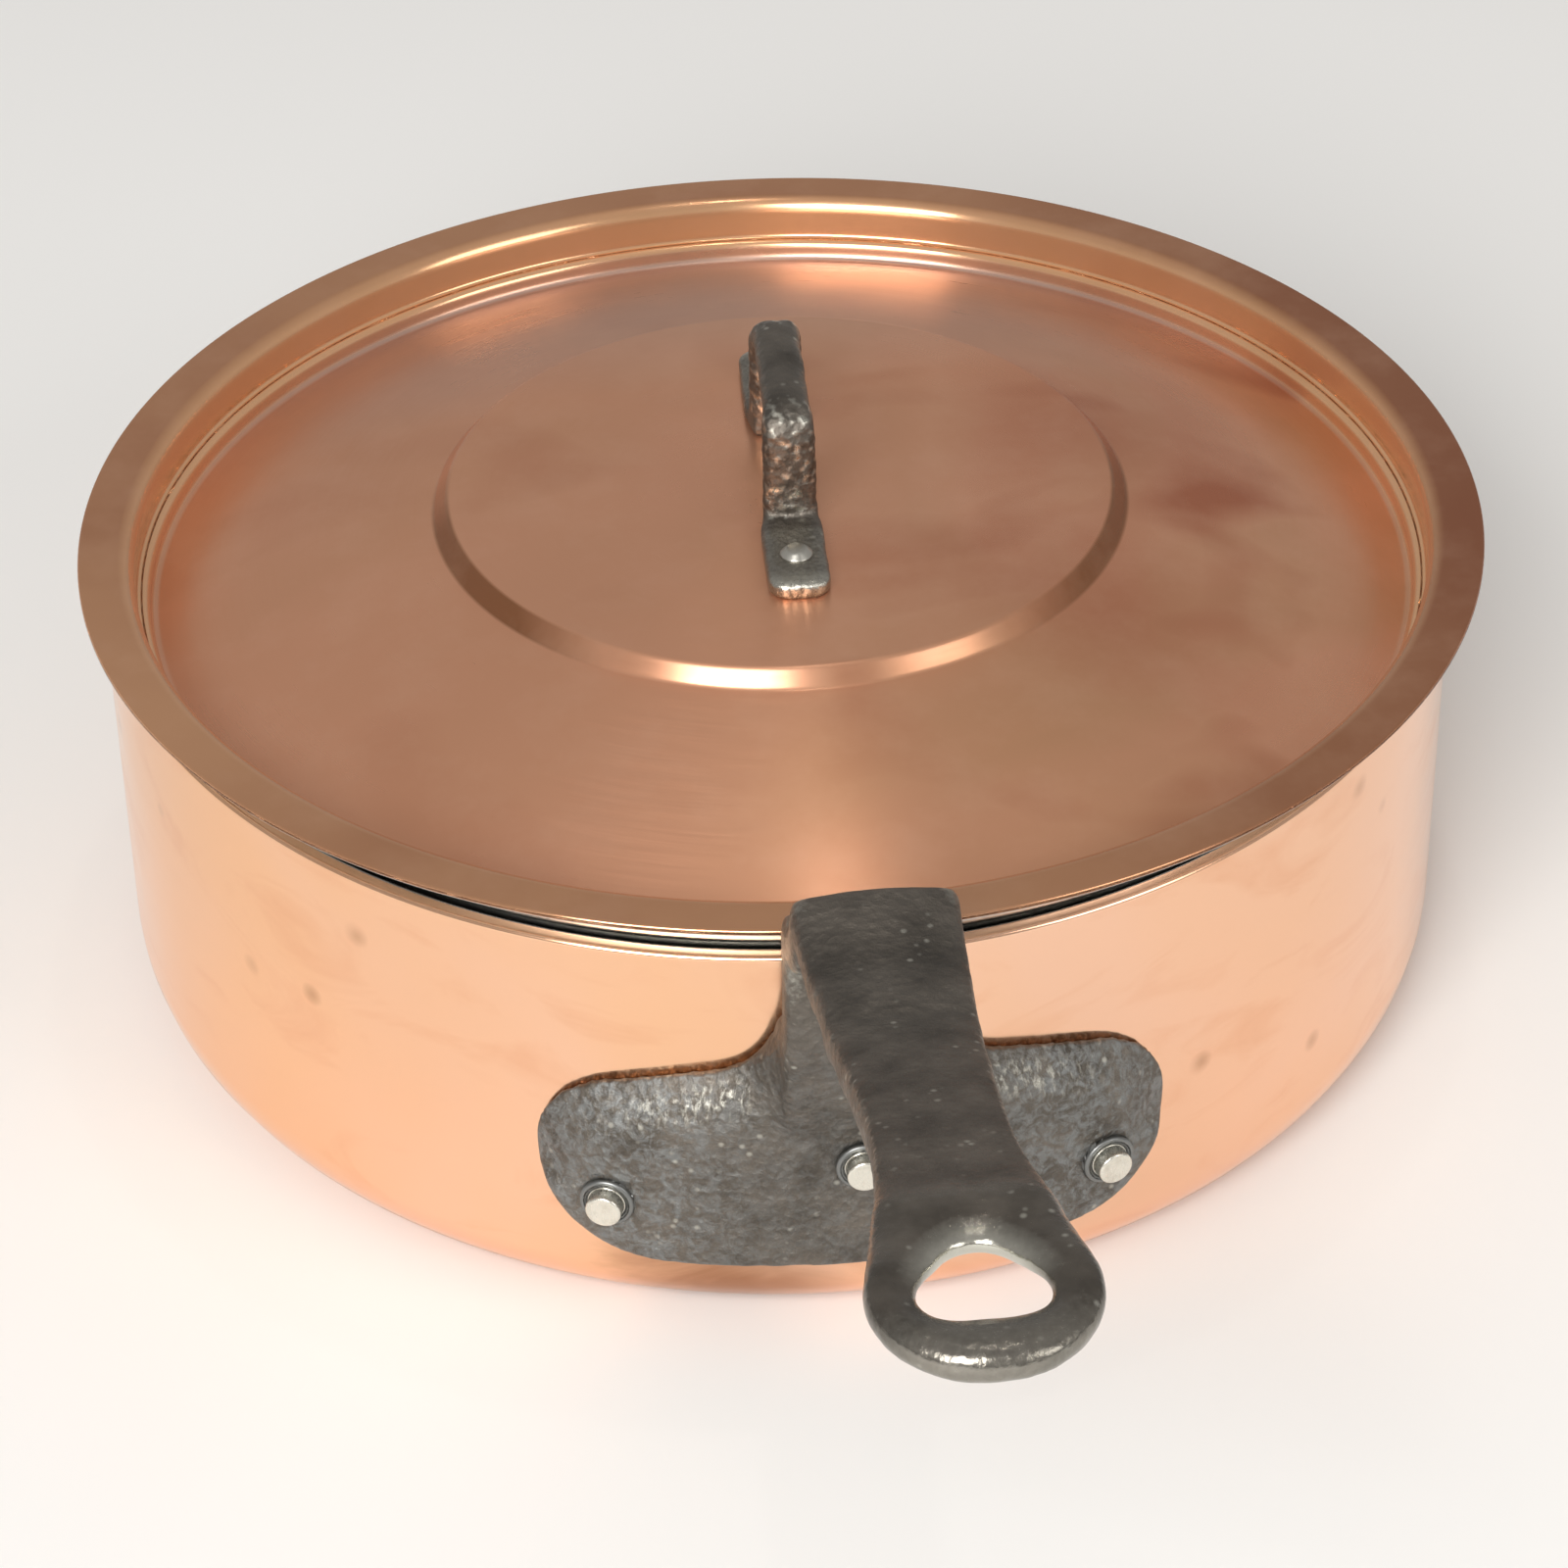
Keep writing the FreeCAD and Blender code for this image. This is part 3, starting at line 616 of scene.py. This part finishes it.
def mark_iron(piece, radius, low, share=1.0):
    """Note which part of a rivet is a collar in the colour of the iron round it."""
    places, normals = read_points(piece)
    outside = np.hypot(places[:, 0], places[:, 1]) >= radius
    store(piece, "iron", share * (outside & (places[:, 2] > low)))


def make_rivets(finish):
    """All five rivets, in the order of their pieces."""
    tree = rivet_setter()
    made = {}
    for side, angle in RIVET_SIDES.items():
        place = (PLATE_FACE * math.sin(angle), -PLATE_FACE * math.cos(angle), RIVET_HEIGHTS[side])
        blank = turned("plate_rivet_" + side, handle_rivet_profile(), around=RIVET_AROUND)
        mark_iron(blank, 3.25 * MM, -0.6 * MM)
        made["handle_rivet_" + side] = set_rivet(blank, tree, place, (math.pi / 2, 0, angle), finish)
    for end, along in LID_RIVET_PLACES.items():
        matrix = BRIDGE_PLACE @ Matrix.Translation((0, along, FOOT_TOP))
        blank = turned("foot_rivet_" + end, lid_rivet_profile(), around=RIVET_AROUND)
        mark_iron(blank, 0, -0.6 * MM, 0.45)
        made["lid_rivet_" + end] = set_rivet(
            blank, tree, matrix.translation, matrix.to_euler()[:], finish)
    return made


# ---------------------------------------------------------------- finishes

class Finish:
    """A material whose nodes are added by short calls. An input is a number, colour or output."""

    def __init__(self, name, **shader):
        self.material = bpy.data.materials.new(name)
        self.material.use_nodes = True
        self.tree = self.material.node_tree
        self.tree.nodes.clear()
        output = self.tree.nodes.new("ShaderNodeOutputMaterial")
        self.shader = self.add("BsdfPrincipled", {})
        self.tree.links.new(self.shader.outputs[0], output.inputs["Surface"])
        self.set(shader)

    def set(self, shader):
        for label, value in shader.items():
            self.give(self.shader.inputs[label.replace("_", " ")], value)

    def give(self, socket, value):
        if isinstance(value, bpy.types.NodeSocket):
            self.tree.links.new(value, socket)
        elif isinstance(value, tuple) and len(value) == 3 and socket.type == "RGBA":
            socket.default_value = (*value, 1)
        else:
            socket.default_value = value

    def add(self, kind, inputs, **settings):
        node = self.tree.nodes.new("ShaderNode" + kind)
        for label, value in settings.items():
            setattr(node, label, value)
        for label, value in inputs.items():
            self.give(node.inputs[label], value)
        return node

    def place(self, centre=(0, 0, 0), stretch=(1, 1, 1)):
        """Object coordinates about a centre, stretched."""
        where = self.add("TexCoord", {}).outputs["Object"]
        moved = self.add("VectorMath", {0: where, 1: centre}, operation="SUBTRACT").outputs[0]
        return self.add("VectorMath", {0: moved, 1: stretch}, operation="MULTIPLY").outputs[0]

    def lathe_lines(self, centre, across, along, use_height=False):
        """Coordinates that change fast along the radius or the height and slowly round the axis."""
        where = self.place(centre)
        flat = self.add("VectorMath", {0: where, 1: (1, 1, 0)}, operation="MULTIPLY").outputs[0]
        radius = self.add("VectorMath", {0: flat}, operation="LENGTH").outputs["Value"]
        heading = self.add("VectorMath", {0: flat}, operation="NORMALIZE").outputs[0]
        slow = self.add("VectorMath", {0: heading, "Scale": along}, operation="SCALE").outputs[0]
        parts = self.add("SeparateXYZ", {0: slow})
        if use_height:
            radius = self.add("SeparateXYZ", {0: where}).outputs["Z"]
        fast = self.add("Math", {0: radius, 1: across}, operation="MULTIPLY").outputs[0]
        return self.add("CombineXYZ", {0: parts.outputs[0], 1: parts.outputs[1], 2: fast}).outputs[0]

    def clouds(self, where, scale, detail=2.0, roughness=0.5, distortion=0.0):
        return self.add("TexNoise", {"Vector": where, "Scale": scale, "Detail": detail,
                                     "Roughness": roughness, "Distortion": distortion}).outputs["Fac"]

    def cells(self, where, scale):
        return self.add("TexVoronoi", {"Vector": where, "Scale": scale}).outputs["Distance"]

    def between(self, value, low, high, from_low=0.0, to_high=1.0):
        """The value's stretch from low to high, as from_low to to_high."""
        return self.add("MapRange", {"Value": value, "From Min": low, "From Max": high,
                                     "To Min": from_low, "To Max": to_high}).outputs[0]

    def math(self, operation, first, second=0.0):
        return self.add("Math", {0: first, 1: second}, operation=operation).outputs[0]

    def mix(self, share, first, second):
        node = self.add("Mix", {}, data_type="RGBA")
        self.give(node.inputs["Factor"], share)
        self.give(node.inputs[6], first)
        self.give(node.inputs[7], second)
        return node.outputs[2]

    def attribute(self, name):
        return self.add("Attribute", {}, attribute_name=name).outputs["Fac"]

    def relief(self, height, distance, strength=1.0, over=None):
        inputs = {"Height": height, "Distance": distance, "Strength": strength}
        if over is not None:
            inputs["Normal"] = over
        return self.add("Bump", inputs).outputs[0]


COPPER = (0.95, 0.56, 0.33)
COPPER_PINK = (0.95, 0.59, 0.41)
COPPER_DEEP = (0.84, 0.43, 0.25)
LID_COPPER = (0.80, 0.40, 0.245)
LID_OLIVE = (0.58, 0.32, 0.165)
LID_RED = (0.46, 0.135, 0.062)
FLANGE_COPPER = (0.50, 0.225, 0.12)
# painted dark reflection on the right of the flange
FLANGE_PAINTED_DARK_REFLECTION = (0.30, 0.10, 0.05)
# duller or darker copper by region of the lid: a painted dull reflection over its back, painted dark
# reflections at its disc's edge, two heat patches
LID_BACK_PAINTED_REFLECTION = (0.56, 0.41, 0.35)
STEP_PAINTED_DARK_REFLECTION = (0.30, 0.125, 0.055)
# painted reflection: bright gold for the recess wall
RECESS_PAINTED_GOLD_REFLECTION = (1.0, 0.62, 0.33)
LID_BLOTCHES = (((0.052, -0.045, 0), 0.030), ((0.060, 0.012, 0), 0.030))
# brown of the real spots, also used for a painted dark reflection low on the pan wall around the place
# below
BROWN_SPOT_AND_DARK_REFLECTION = (0.36, 0.16, 0.08)
WALL_PAINTED_DARK_REFLECTION = (-0.022, -0.119, 0.006)
IRON = (0.185, 0.163, 0.138)
IRON_PALE = (0.235, 0.240, 0.235)
IRON_DARK = (0.088, 0.078, 0.066)
IRON_WORN = (0.56, 0.545, 0.48)


def polished_copper():
    """Bright buffed copper, with faint wipe marks, a little waviness and a few brown spots, painted
    shade towards the base and a painted dark reflection low on the wall.
    """
    finish = Finish("polished_copper", Metallic=1.0)
    where = finish.place()
    broad = finish.clouds(where, 9.0, 3.0, 0.55, 0.6)
    wipes = finish.clouds(finish.place(stretch=(1, 1, 2.4)), 26.0, 4.0, 0.6, 1.2)
    colour = finish.mix(finish.between(broad, 0.35, 0.65), COPPER, COPPER_PINK)
    colour = finish.mix(finish.between(wipes, 0.52, 0.74, 0.0, 0.5), colour, COPPER_DEEP)
    spot = finish.between(finish.cells(where, 58.0), 0.03, 0.16, 1.0, 0.0)
    gate = finish.between(finish.clouds(where, 14.0, 1.0), 0.54, 0.60)
    colour = finish.mix(finish.math("MULTIPLY", spot, finish.math("MULTIPLY", gate, 0.6)),
                        colour, BROWN_SPOT_AND_DARK_REFLECTION)
    # painted shade: the wall copper darkens to deep copper towards its base
    height = finish.add("SeparateXYZ", {0: where}).outputs["Z"]
    low = finish.between(height, 0.001, 0.013, 0.9, 0.0)
    colour = finish.mix(low, colour, COPPER_DEEP)
    # painted reflection: a dark brown smear low on the wall, left of the handle, with a ragged edge
    away = finish.add("VectorMath", {0: where, 1: WALL_PAINTED_DARK_REFLECTION}, operation="DISTANCE").outputs["Value"]
    away = finish.math("ADD", away, finish.between(wipes, 0.3, 0.7, -0.006, 0.006))
    colour = finish.mix(finish.between(away, 0.006, 0.024, 0.85, 0.0), colour, BROWN_SPOT_AND_DARK_REFLECTION)
    buff = finish.clouds(finish.lathe_lines((0, 0, 0), 900.0, 5.0, True), 1.0, 3.0, 0.6)
    rough = finish.between(wipes, 0.3, 0.75, 0.11, 0.22)
    rough = finish.math("ADD", rough, finish.between(buff, 0.3, 0.7, -0.015, 0.02))
    waves = finish.clouds(where, 24.0, 1.0, 0.4)
    normal = finish.relief(waves, 0.00022)
    normal = finish.relief(buff, 0.0000025, 0.6, normal)
    finish.set({"Base Color": colour, "Roughness": rough, "Normal": normal})
    return finish.material


def satin_copper():
    """Turned satin copper, clouded by heat: olive and red-brown patches, fine circular lines."""
    finish = Finish("satin_copper", Metallic=0.84, Anisotropic=0.7, Anisotropic_Rotation=0.25)
    centre = LID_PLACE.translation[:]
    where = finish.place(centre)
    sideways, lengthways = finish.add("SeparateXYZ", {0: where}).outputs[:2]
    broad = finish.clouds(where, 11.0, 3.0, 0.5, 0.8)
    patches = finish.clouds(finish.place(centre, (1.0, 1.5, 1.0)), 19.0, 2.0, 0.45, 0.4)
    right = finish.between(sideways, -0.05, 0.08, 0.30, 1.0)
    olive = finish.math("MULTIPLY", finish.between(broad, 0.40, 0.68), right)
    red = finish.math("MULTIPLY", finish.between(patches, 0.54, 0.74), right)
    colour = finish.mix(finish.math("MULTIPLY", olive, 0.75), LID_COPPER, LID_OLIVE)
    colour = finish.mix(finish.math("MULTIPLY", red, 0.8), colour, LID_RED)
    for spot, reach in LID_BLOTCHES:
        away = finish.add("VectorMath", {0: where, 1: spot}, operation="DISTANCE").outputs["Value"]
        away = finish.math("ADD", away, finish.between(broad, 0.3, 0.7, -0.012, 0.012))
        blotch = finish.between(away, 0.1 * reach, reach, 0.5, 0.0)
        colour = finish.mix(blotch, colour, LID_RED)
    flat = finish.add("VectorMath", {0: where, 1: (1, 1, 0)}, operation="MULTIPLY").outputs[0]
    radius = finish.add("VectorMath", {0: flat}, operation="LENGTH").outputs["Value"]
    wall = finish.between(radius, LID_PLUG - 0.7 * MM, LID_PLUG)
    # painted reflection: the recess wall is painted bright gold all round; its roughness is also
    # lowered below
    colour = finish.mix(finish.math("MULTIPLY", wall, 0.6), colour, RECESS_PAINTED_GOLD_REFLECTION)
    # painted dark reflections: two dark crescents on the front of the disc's edge, at its left and
    # right sides
    step = finish.math("MULTIPLY", finish.between(radius, DISC_EDGE.x - 0.6 * MM, DISC_EDGE.x),
                       finish.between(radius, DISC_FOOT.x, DISC_FOOT.x + 0.6 * MM, 1.0, 0.0))
    step = finish.math("MULTIPLY", step, finish.between(lengthways, -0.004, 0.014, 0.9, 0.0))
    painted_crescent_sides = finish.between(finish.math("ABSOLUTE", sideways), 0.036, 0.050)
    colour = finish.mix(finish.math("MULTIPLY", step, painted_crescent_sides), colour, STEP_PAINTED_DARK_REFLECTION)
    # painted reflection: the back of the lid, off the recess wall, is painted a dull pale copper
    back = finish.between(lengthways, 0.035, 0.095, 0.0, 0.8)
    back = finish.math("MULTIPLY", back, finish.math("SUBTRACT", 1.0, wall))
    colour = finish.mix(back, colour, LID_BACK_PAINTED_REFLECTION)
    flange = finish.between(radius, LID_WALL, LID_WALL + CREST_BEND)
    colour = finish.mix(finish.math("MULTIPLY", flange, finish.between(broad, 0.3, 0.7, 0.45, 0.95)),
                        colour, FLANGE_COPPER)
    # painted dark reflection: the flange darkens towards the lid's right side
    painted_dark_right = finish.math("MULTIPLY", flange, finish.between(sideways, 0.02, 0.12, 0.0, 0.75))
    colour = finish.mix(painted_dark_right, colour, FLANGE_PAINTED_DARK_REFLECTION)
    dusty = finish.clouds(where, 60.0, 4.0, 0.65)
    colour = finish.mix(finish.between(dusty, 0.45, 0.75, 0.0, 0.16), colour, COPPER_PINK)
    lines = finish.clouds(finish.lathe_lines(centre, 1500.0, 4.0), 1.0, 3.0, 0.7)
    rough = finish.between(broad, 0.3, 0.7, 0.27, 0.35)
    rough = finish.math("ADD", rough, finish.between(lines, 0.3, 0.7, -0.03, 0.04))
    rough = finish.math("SUBTRACT", rough, finish.math("MULTIPLY", wall, 0.12))
    waves = finish.clouds(where, 17.0, 1.0, 0.4)
    normal = finish.relief(waves, 0.00030)
    normal = finish.relief(lines, 0.000006, 0.8, normal)
    finish.set({"Base Color": colour, "Roughness": rough, "Normal": normal})
    return finish.material


def lining_metal():
    """Pale satin lining with circular brushing and faint stains."""
    finish = Finish("lining_metal", Metallic=1.0)
    where = finish.place()
    stains = finish.clouds(where, 18.0, 3.0, 0.6, 0.7)
    lines = finish.clouds(finish.lathe_lines((0, 0, 0), 1300.0, 3.0), 1.0, 3.0, 0.65)
    height_lines = finish.clouds(finish.lathe_lines((0, 0, 0), 1300.0, 3.0, True), 1.0, 3.0, 0.65)
    both = finish.math("ADD", lines, height_lines)
    colour = finish.mix(finish.between(stains, 0.35, 0.7), (0.70, 0.69, 0.67), (0.58, 0.56, 0.52))
    rough = finish.between(both, 0.7, 1.3, 0.24, 0.36)
    normal = finish.relief(both, 0.000006, 0.8)
    finish.set({"Base Color": colour, "Roughness": rough, "Normal": normal})
    return finish.material


def worn_iron(name, grain_size, pit_depth):
    """Dark cast iron with a fine pitted skin, file marks on its edges, rubbed bright in places."""
    finish = Finish(name)
    where = finish.place()
    mottle = finish.clouds(where, 90.0, 4.0, 0.6)
    grain = finish.clouds(where, 1.0 / grain_size, 4.0, 0.7)
    pits = finish.cells(where, 0.6 / grain_size)
    strokes = finish.clouds(finish.place(stretch=(1.0, 1.0, 0.12)), 1150.0, 3.0, 0.6, 0.25)
    wear, filed = finish.attribute("wear"), finish.attribute("filed")
    plate, handled = finish.attribute("plate"), finish.attribute("handled")
    colour = finish.mix(finish.between(mottle, 0.35, 0.7), IRON, IRON_DARK)
    fleck = finish.clouds(where, 0.45 / grain_size, 5.0, 0.75, 0.8)
    # pale fleck on the wall plate: real mottle with a painted sheen, as strong as the plate attribute
    skin = finish.math("MULTIPLY", plate, finish.between(fleck, 0.43, 0.60, 0.0, 1.0))
    colour = finish.mix(skin, colour, IRON_PALE)
    speck = finish.between(finish.cells(where, 340.0), 0.08, 0.22, 0.6, 0.0)
    few = finish.between(finish.clouds(where, 120.0, 2.0), 0.50, 0.58)
    colour = finish.mix(finish.math("MULTIPLY", speck, few), colour, IRON_WORN)
    ragged = finish.math("MULTIPLY", finish.between(grain, 0.3, 0.7, -0.22, 0.16),
                         finish.between(handled, 0.0, 1.0, 1.0, 0.3))
    broken = finish.math("ADD", wear, ragged)
    marks = finish.math("MULTIPLY", filed, finish.between(strokes, 0.50, 0.66))
    bright = finish.math("MAXIMUM", finish.between(broken, 0.22, 0.95), marks)
    colour = finish.mix(bright, colour, IRON_WORN)
    rough = finish.between(finish.math("MAXIMUM", bright, handled), 0.0, 1.0, 0.46, 0.21)
    rough = finish.math("ADD", rough, finish.between(grain, 0.3, 0.7, -0.06, 0.08))
    calm = finish.between(handled, 0.0, 1.0, 1.0, 0.2)
    rubbed_grain = finish.math("MULTIPLY", grain, calm)
    normal = finish.relief(mottle, 0.0004)
    normal = finish.relief(finish.math("MULTIPLY", pits, calm), pit_depth, 0.55, normal)
    normal = finish.relief(rubbed_grain, pit_depth * 0.8, 0.7, normal)
    normal = finish.relief(finish.math("MULTIPLY", strokes, filed), 0.0005, 0.6, normal)
    finish.set({"Base Color": colour, "Roughness": rough, "Normal": normal,
                "Metallic": finish.between(bright, 0.0, 0.5, 0.85, 1.0)})
    return finish.material


def rivet_metal():
    """Pale rivet metal, filed flat at the end, with grime by the iron."""
    finish = Finish("rivet_metal", Metallic=1.0)
    where = finish.place()
    filed = finish.clouds(finish.place(stretch=(3, 1, 0.4)), 900.0, 3.0, 0.6)
    stains = finish.clouds(where, 420.0, 3.0, 0.6)
    iron = finish.attribute("iron")
    colour = finish.mix(finish.between(stains, 0.50, 0.80), (0.82, 0.79, 0.70), (0.62, 0.57, 0.48))
    colour = finish.mix(iron, colour, IRON_PALE)
    rough = finish.math("ADD", finish.between(filed, 0.3, 0.7, 0.22, 0.34),
                        finish.between(iron, 0.0, 1.0, 0.0, 0.12))
    normal = finish.relief(filed, 0.00002, 0.5)
    finish.set({"Base Color": colour, "Roughness": rough, "Normal": normal})
    return finish.material


# ---------------------------------------------------------------- the object

def dress(piece, finish, body, slot, *nodes):
    """Give a piece its finish, its body and the nodes that it stands for."""
    piece.data.materials.clear()
    piece.data.materials.append(finish)
    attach(piece, body)
    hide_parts(*nodes)


lining = lining_metal()
rivet_finish = rivet_metal()
dress(make_pan(), polished_copper(), "pan", "polished_copper", "pan_body")
dress(make_pan_lining(), lining, "pan", "lining_steel", "pan_lining")
dress(make_pan_handle(), worn_iron("cast_iron", 0.0011, 0.00070), "pan", "cast_iron", "pan_handle")
dress(make_lid(), satin_copper(), "lid", "satin_copper", "lid_body")
dress(make_lid_lining(), lining, "lid", "lining_steel", "lid_lining")
dress(make_lid_handle(), worn_iron("forged_iron", 0.0008, 0.00035), "lid", "forged_iron", "lid_handle")
for node, rivet in make_rivets(rivet_finish).items():
    dress(rivet, rivet_finish, "pan" if node.startswith("handle") else "lid", "rivet_steel", node)


# ---------------------------------------------------------------- floor, light and camera

FLOOR_SIDE = 14.0
FLOOR_WHITE = (0.90, 0.90, 0.89)
LIGHTS = {
    # place, what it points at, width, height, power, colour
    "front_left_softbox": ((-0.78, -1.8, 1.4), (0, -0.1, 0), 1.1, 1.2, 51.0, (1.0, 0.985, 0.965)),
    "front_right_softbox": ((1.4, -1.3, 1.1), (0, -0.1, 0), 0.9, 1.0, 9.0, (1.0, 0.98, 0.95)),
    "ceiling_lamp": ((0.10, 0.19, 1.6), (0, -0.02, 0.08), 0.04, 0.04, 0.48, (1.0, 0.95, 0.87)),
}


def make_floor():
    """A plain pale floor."""
    mesh = bmesh.new()
    bmesh.ops.create_grid(mesh, x_segments=1, y_segments=1, size=FLOOR_SIDE / 2)
    floor = piece_from(mesh, "floor")
    finish = Finish("pale_floor", Roughness=0.8)
    finish.set({"Base Color": FLOOR_WHITE})
    floor.data.materials.append(finish.material)


def make_lights():
    """Soft studio lights, each turned to what it points at."""
    for name, (place, target, width, height, power, colour) in LIGHTS.items():
        light = bpy.data.lights.new(name, "AREA")
        light.shape = "RECTANGLE"
        light.size = width
        light.size_y = height
        light.energy = power
        light.color = colour
        lamp = bpy.data.objects.new(name, light)
        lamp.location = place
        lamp.rotation_euler = (Vector(target) - Vector(place)).to_track_quat("-Z", "Y").to_euler()
        bpy.context.scene.collection.objects.link(lamp)


def make_world():
    """A soft room: a pale horizon under a dimmer ceiling."""
    world = bpy.data.worlds.new("studio")
    world.use_nodes = True
    tree = world.node_tree
    where = tree.nodes.new("ShaderNodeTexCoord")
    parts = tree.nodes.new("ShaderNodeSeparateXYZ")
    ramp = tree.nodes.new("ShaderNodeValToRGB")
    tree.links.new(where.outputs["Generated"], parts.inputs[0])
    tree.links.new(parts.outputs["Z"], ramp.inputs[0])
    tree.links.new(ramp.outputs[0], tree.nodes["Background"].inputs["Color"])
    stops = ((0.0, (0.30, 0.295, 0.29)), (0.25, (0.42, 0.41, 0.40)), (0.75, (0.38, 0.37, 0.36)),
             (1.0, (0.46, 0.45, 0.44)))
    ramp.color_ramp.elements.remove(ramp.color_ramp.elements[1])
    for number, (height, colour) in enumerate(stops):
        stop = ramp.color_ramp.elements[0] if number == 0 else ramp.color_ramp.elements.new(height)
        stop.position = height
        stop.color = (*colour, 1)
    bpy.context.scene.world = world


CAMERA_DISTANCE = 7.40 * PAN_RADIUS
CAMERA_ELEVATION = math.radians(34.24)
CAMERA_AZIMUTH = math.radians(-5.75)
CAMERA_DIP = math.radians(-2.88)
CAMERA_ROLL = math.radians(-1.01)
CAMERA_LENS = 113.8
CAMERA_AIM_RIGHT = 0.7 * MM
SENSOR = 36.0


def make_camera():
    """A long lens from above the handle, aimed a little below the middle of the rim."""
    target = Vector((CAMERA_AIM_RIGHT, 0, RIM_HEIGHT))
    flat = CAMERA_DISTANCE * math.cos(CAMERA_ELEVATION)
    place = target + Vector((flat * math.sin(CAMERA_AZIMUTH), -flat * math.cos(CAMERA_AZIMUTH),
                             CAMERA_DISTANCE * math.sin(CAMERA_ELEVATION)))
    facing = (target - place).to_track_quat("-Z", "Y").to_matrix()
    facing = facing @ Matrix.Rotation(CAMERA_DIP, 3, "X") @ Matrix.Rotation(CAMERA_ROLL, 3, "Z")
    lens = bpy.data.cameras.new("camera")
    lens.lens = CAMERA_LENS
    lens.sensor_width = SENSOR
    lens.clip_start = 0.05
    camera = bpy.data.objects.new("camera", lens)
    camera.matrix_world = Matrix.Translation(place) @ facing.to_4x4()
    bpy.context.scene.collection.objects.link(camera)
    bpy.context.scene.camera = camera


make_floor()
make_lights()
make_world()
make_camera()
bpy.context.scene.view_settings.view_transform = "Standard"

bpy.context.view_layer.update()
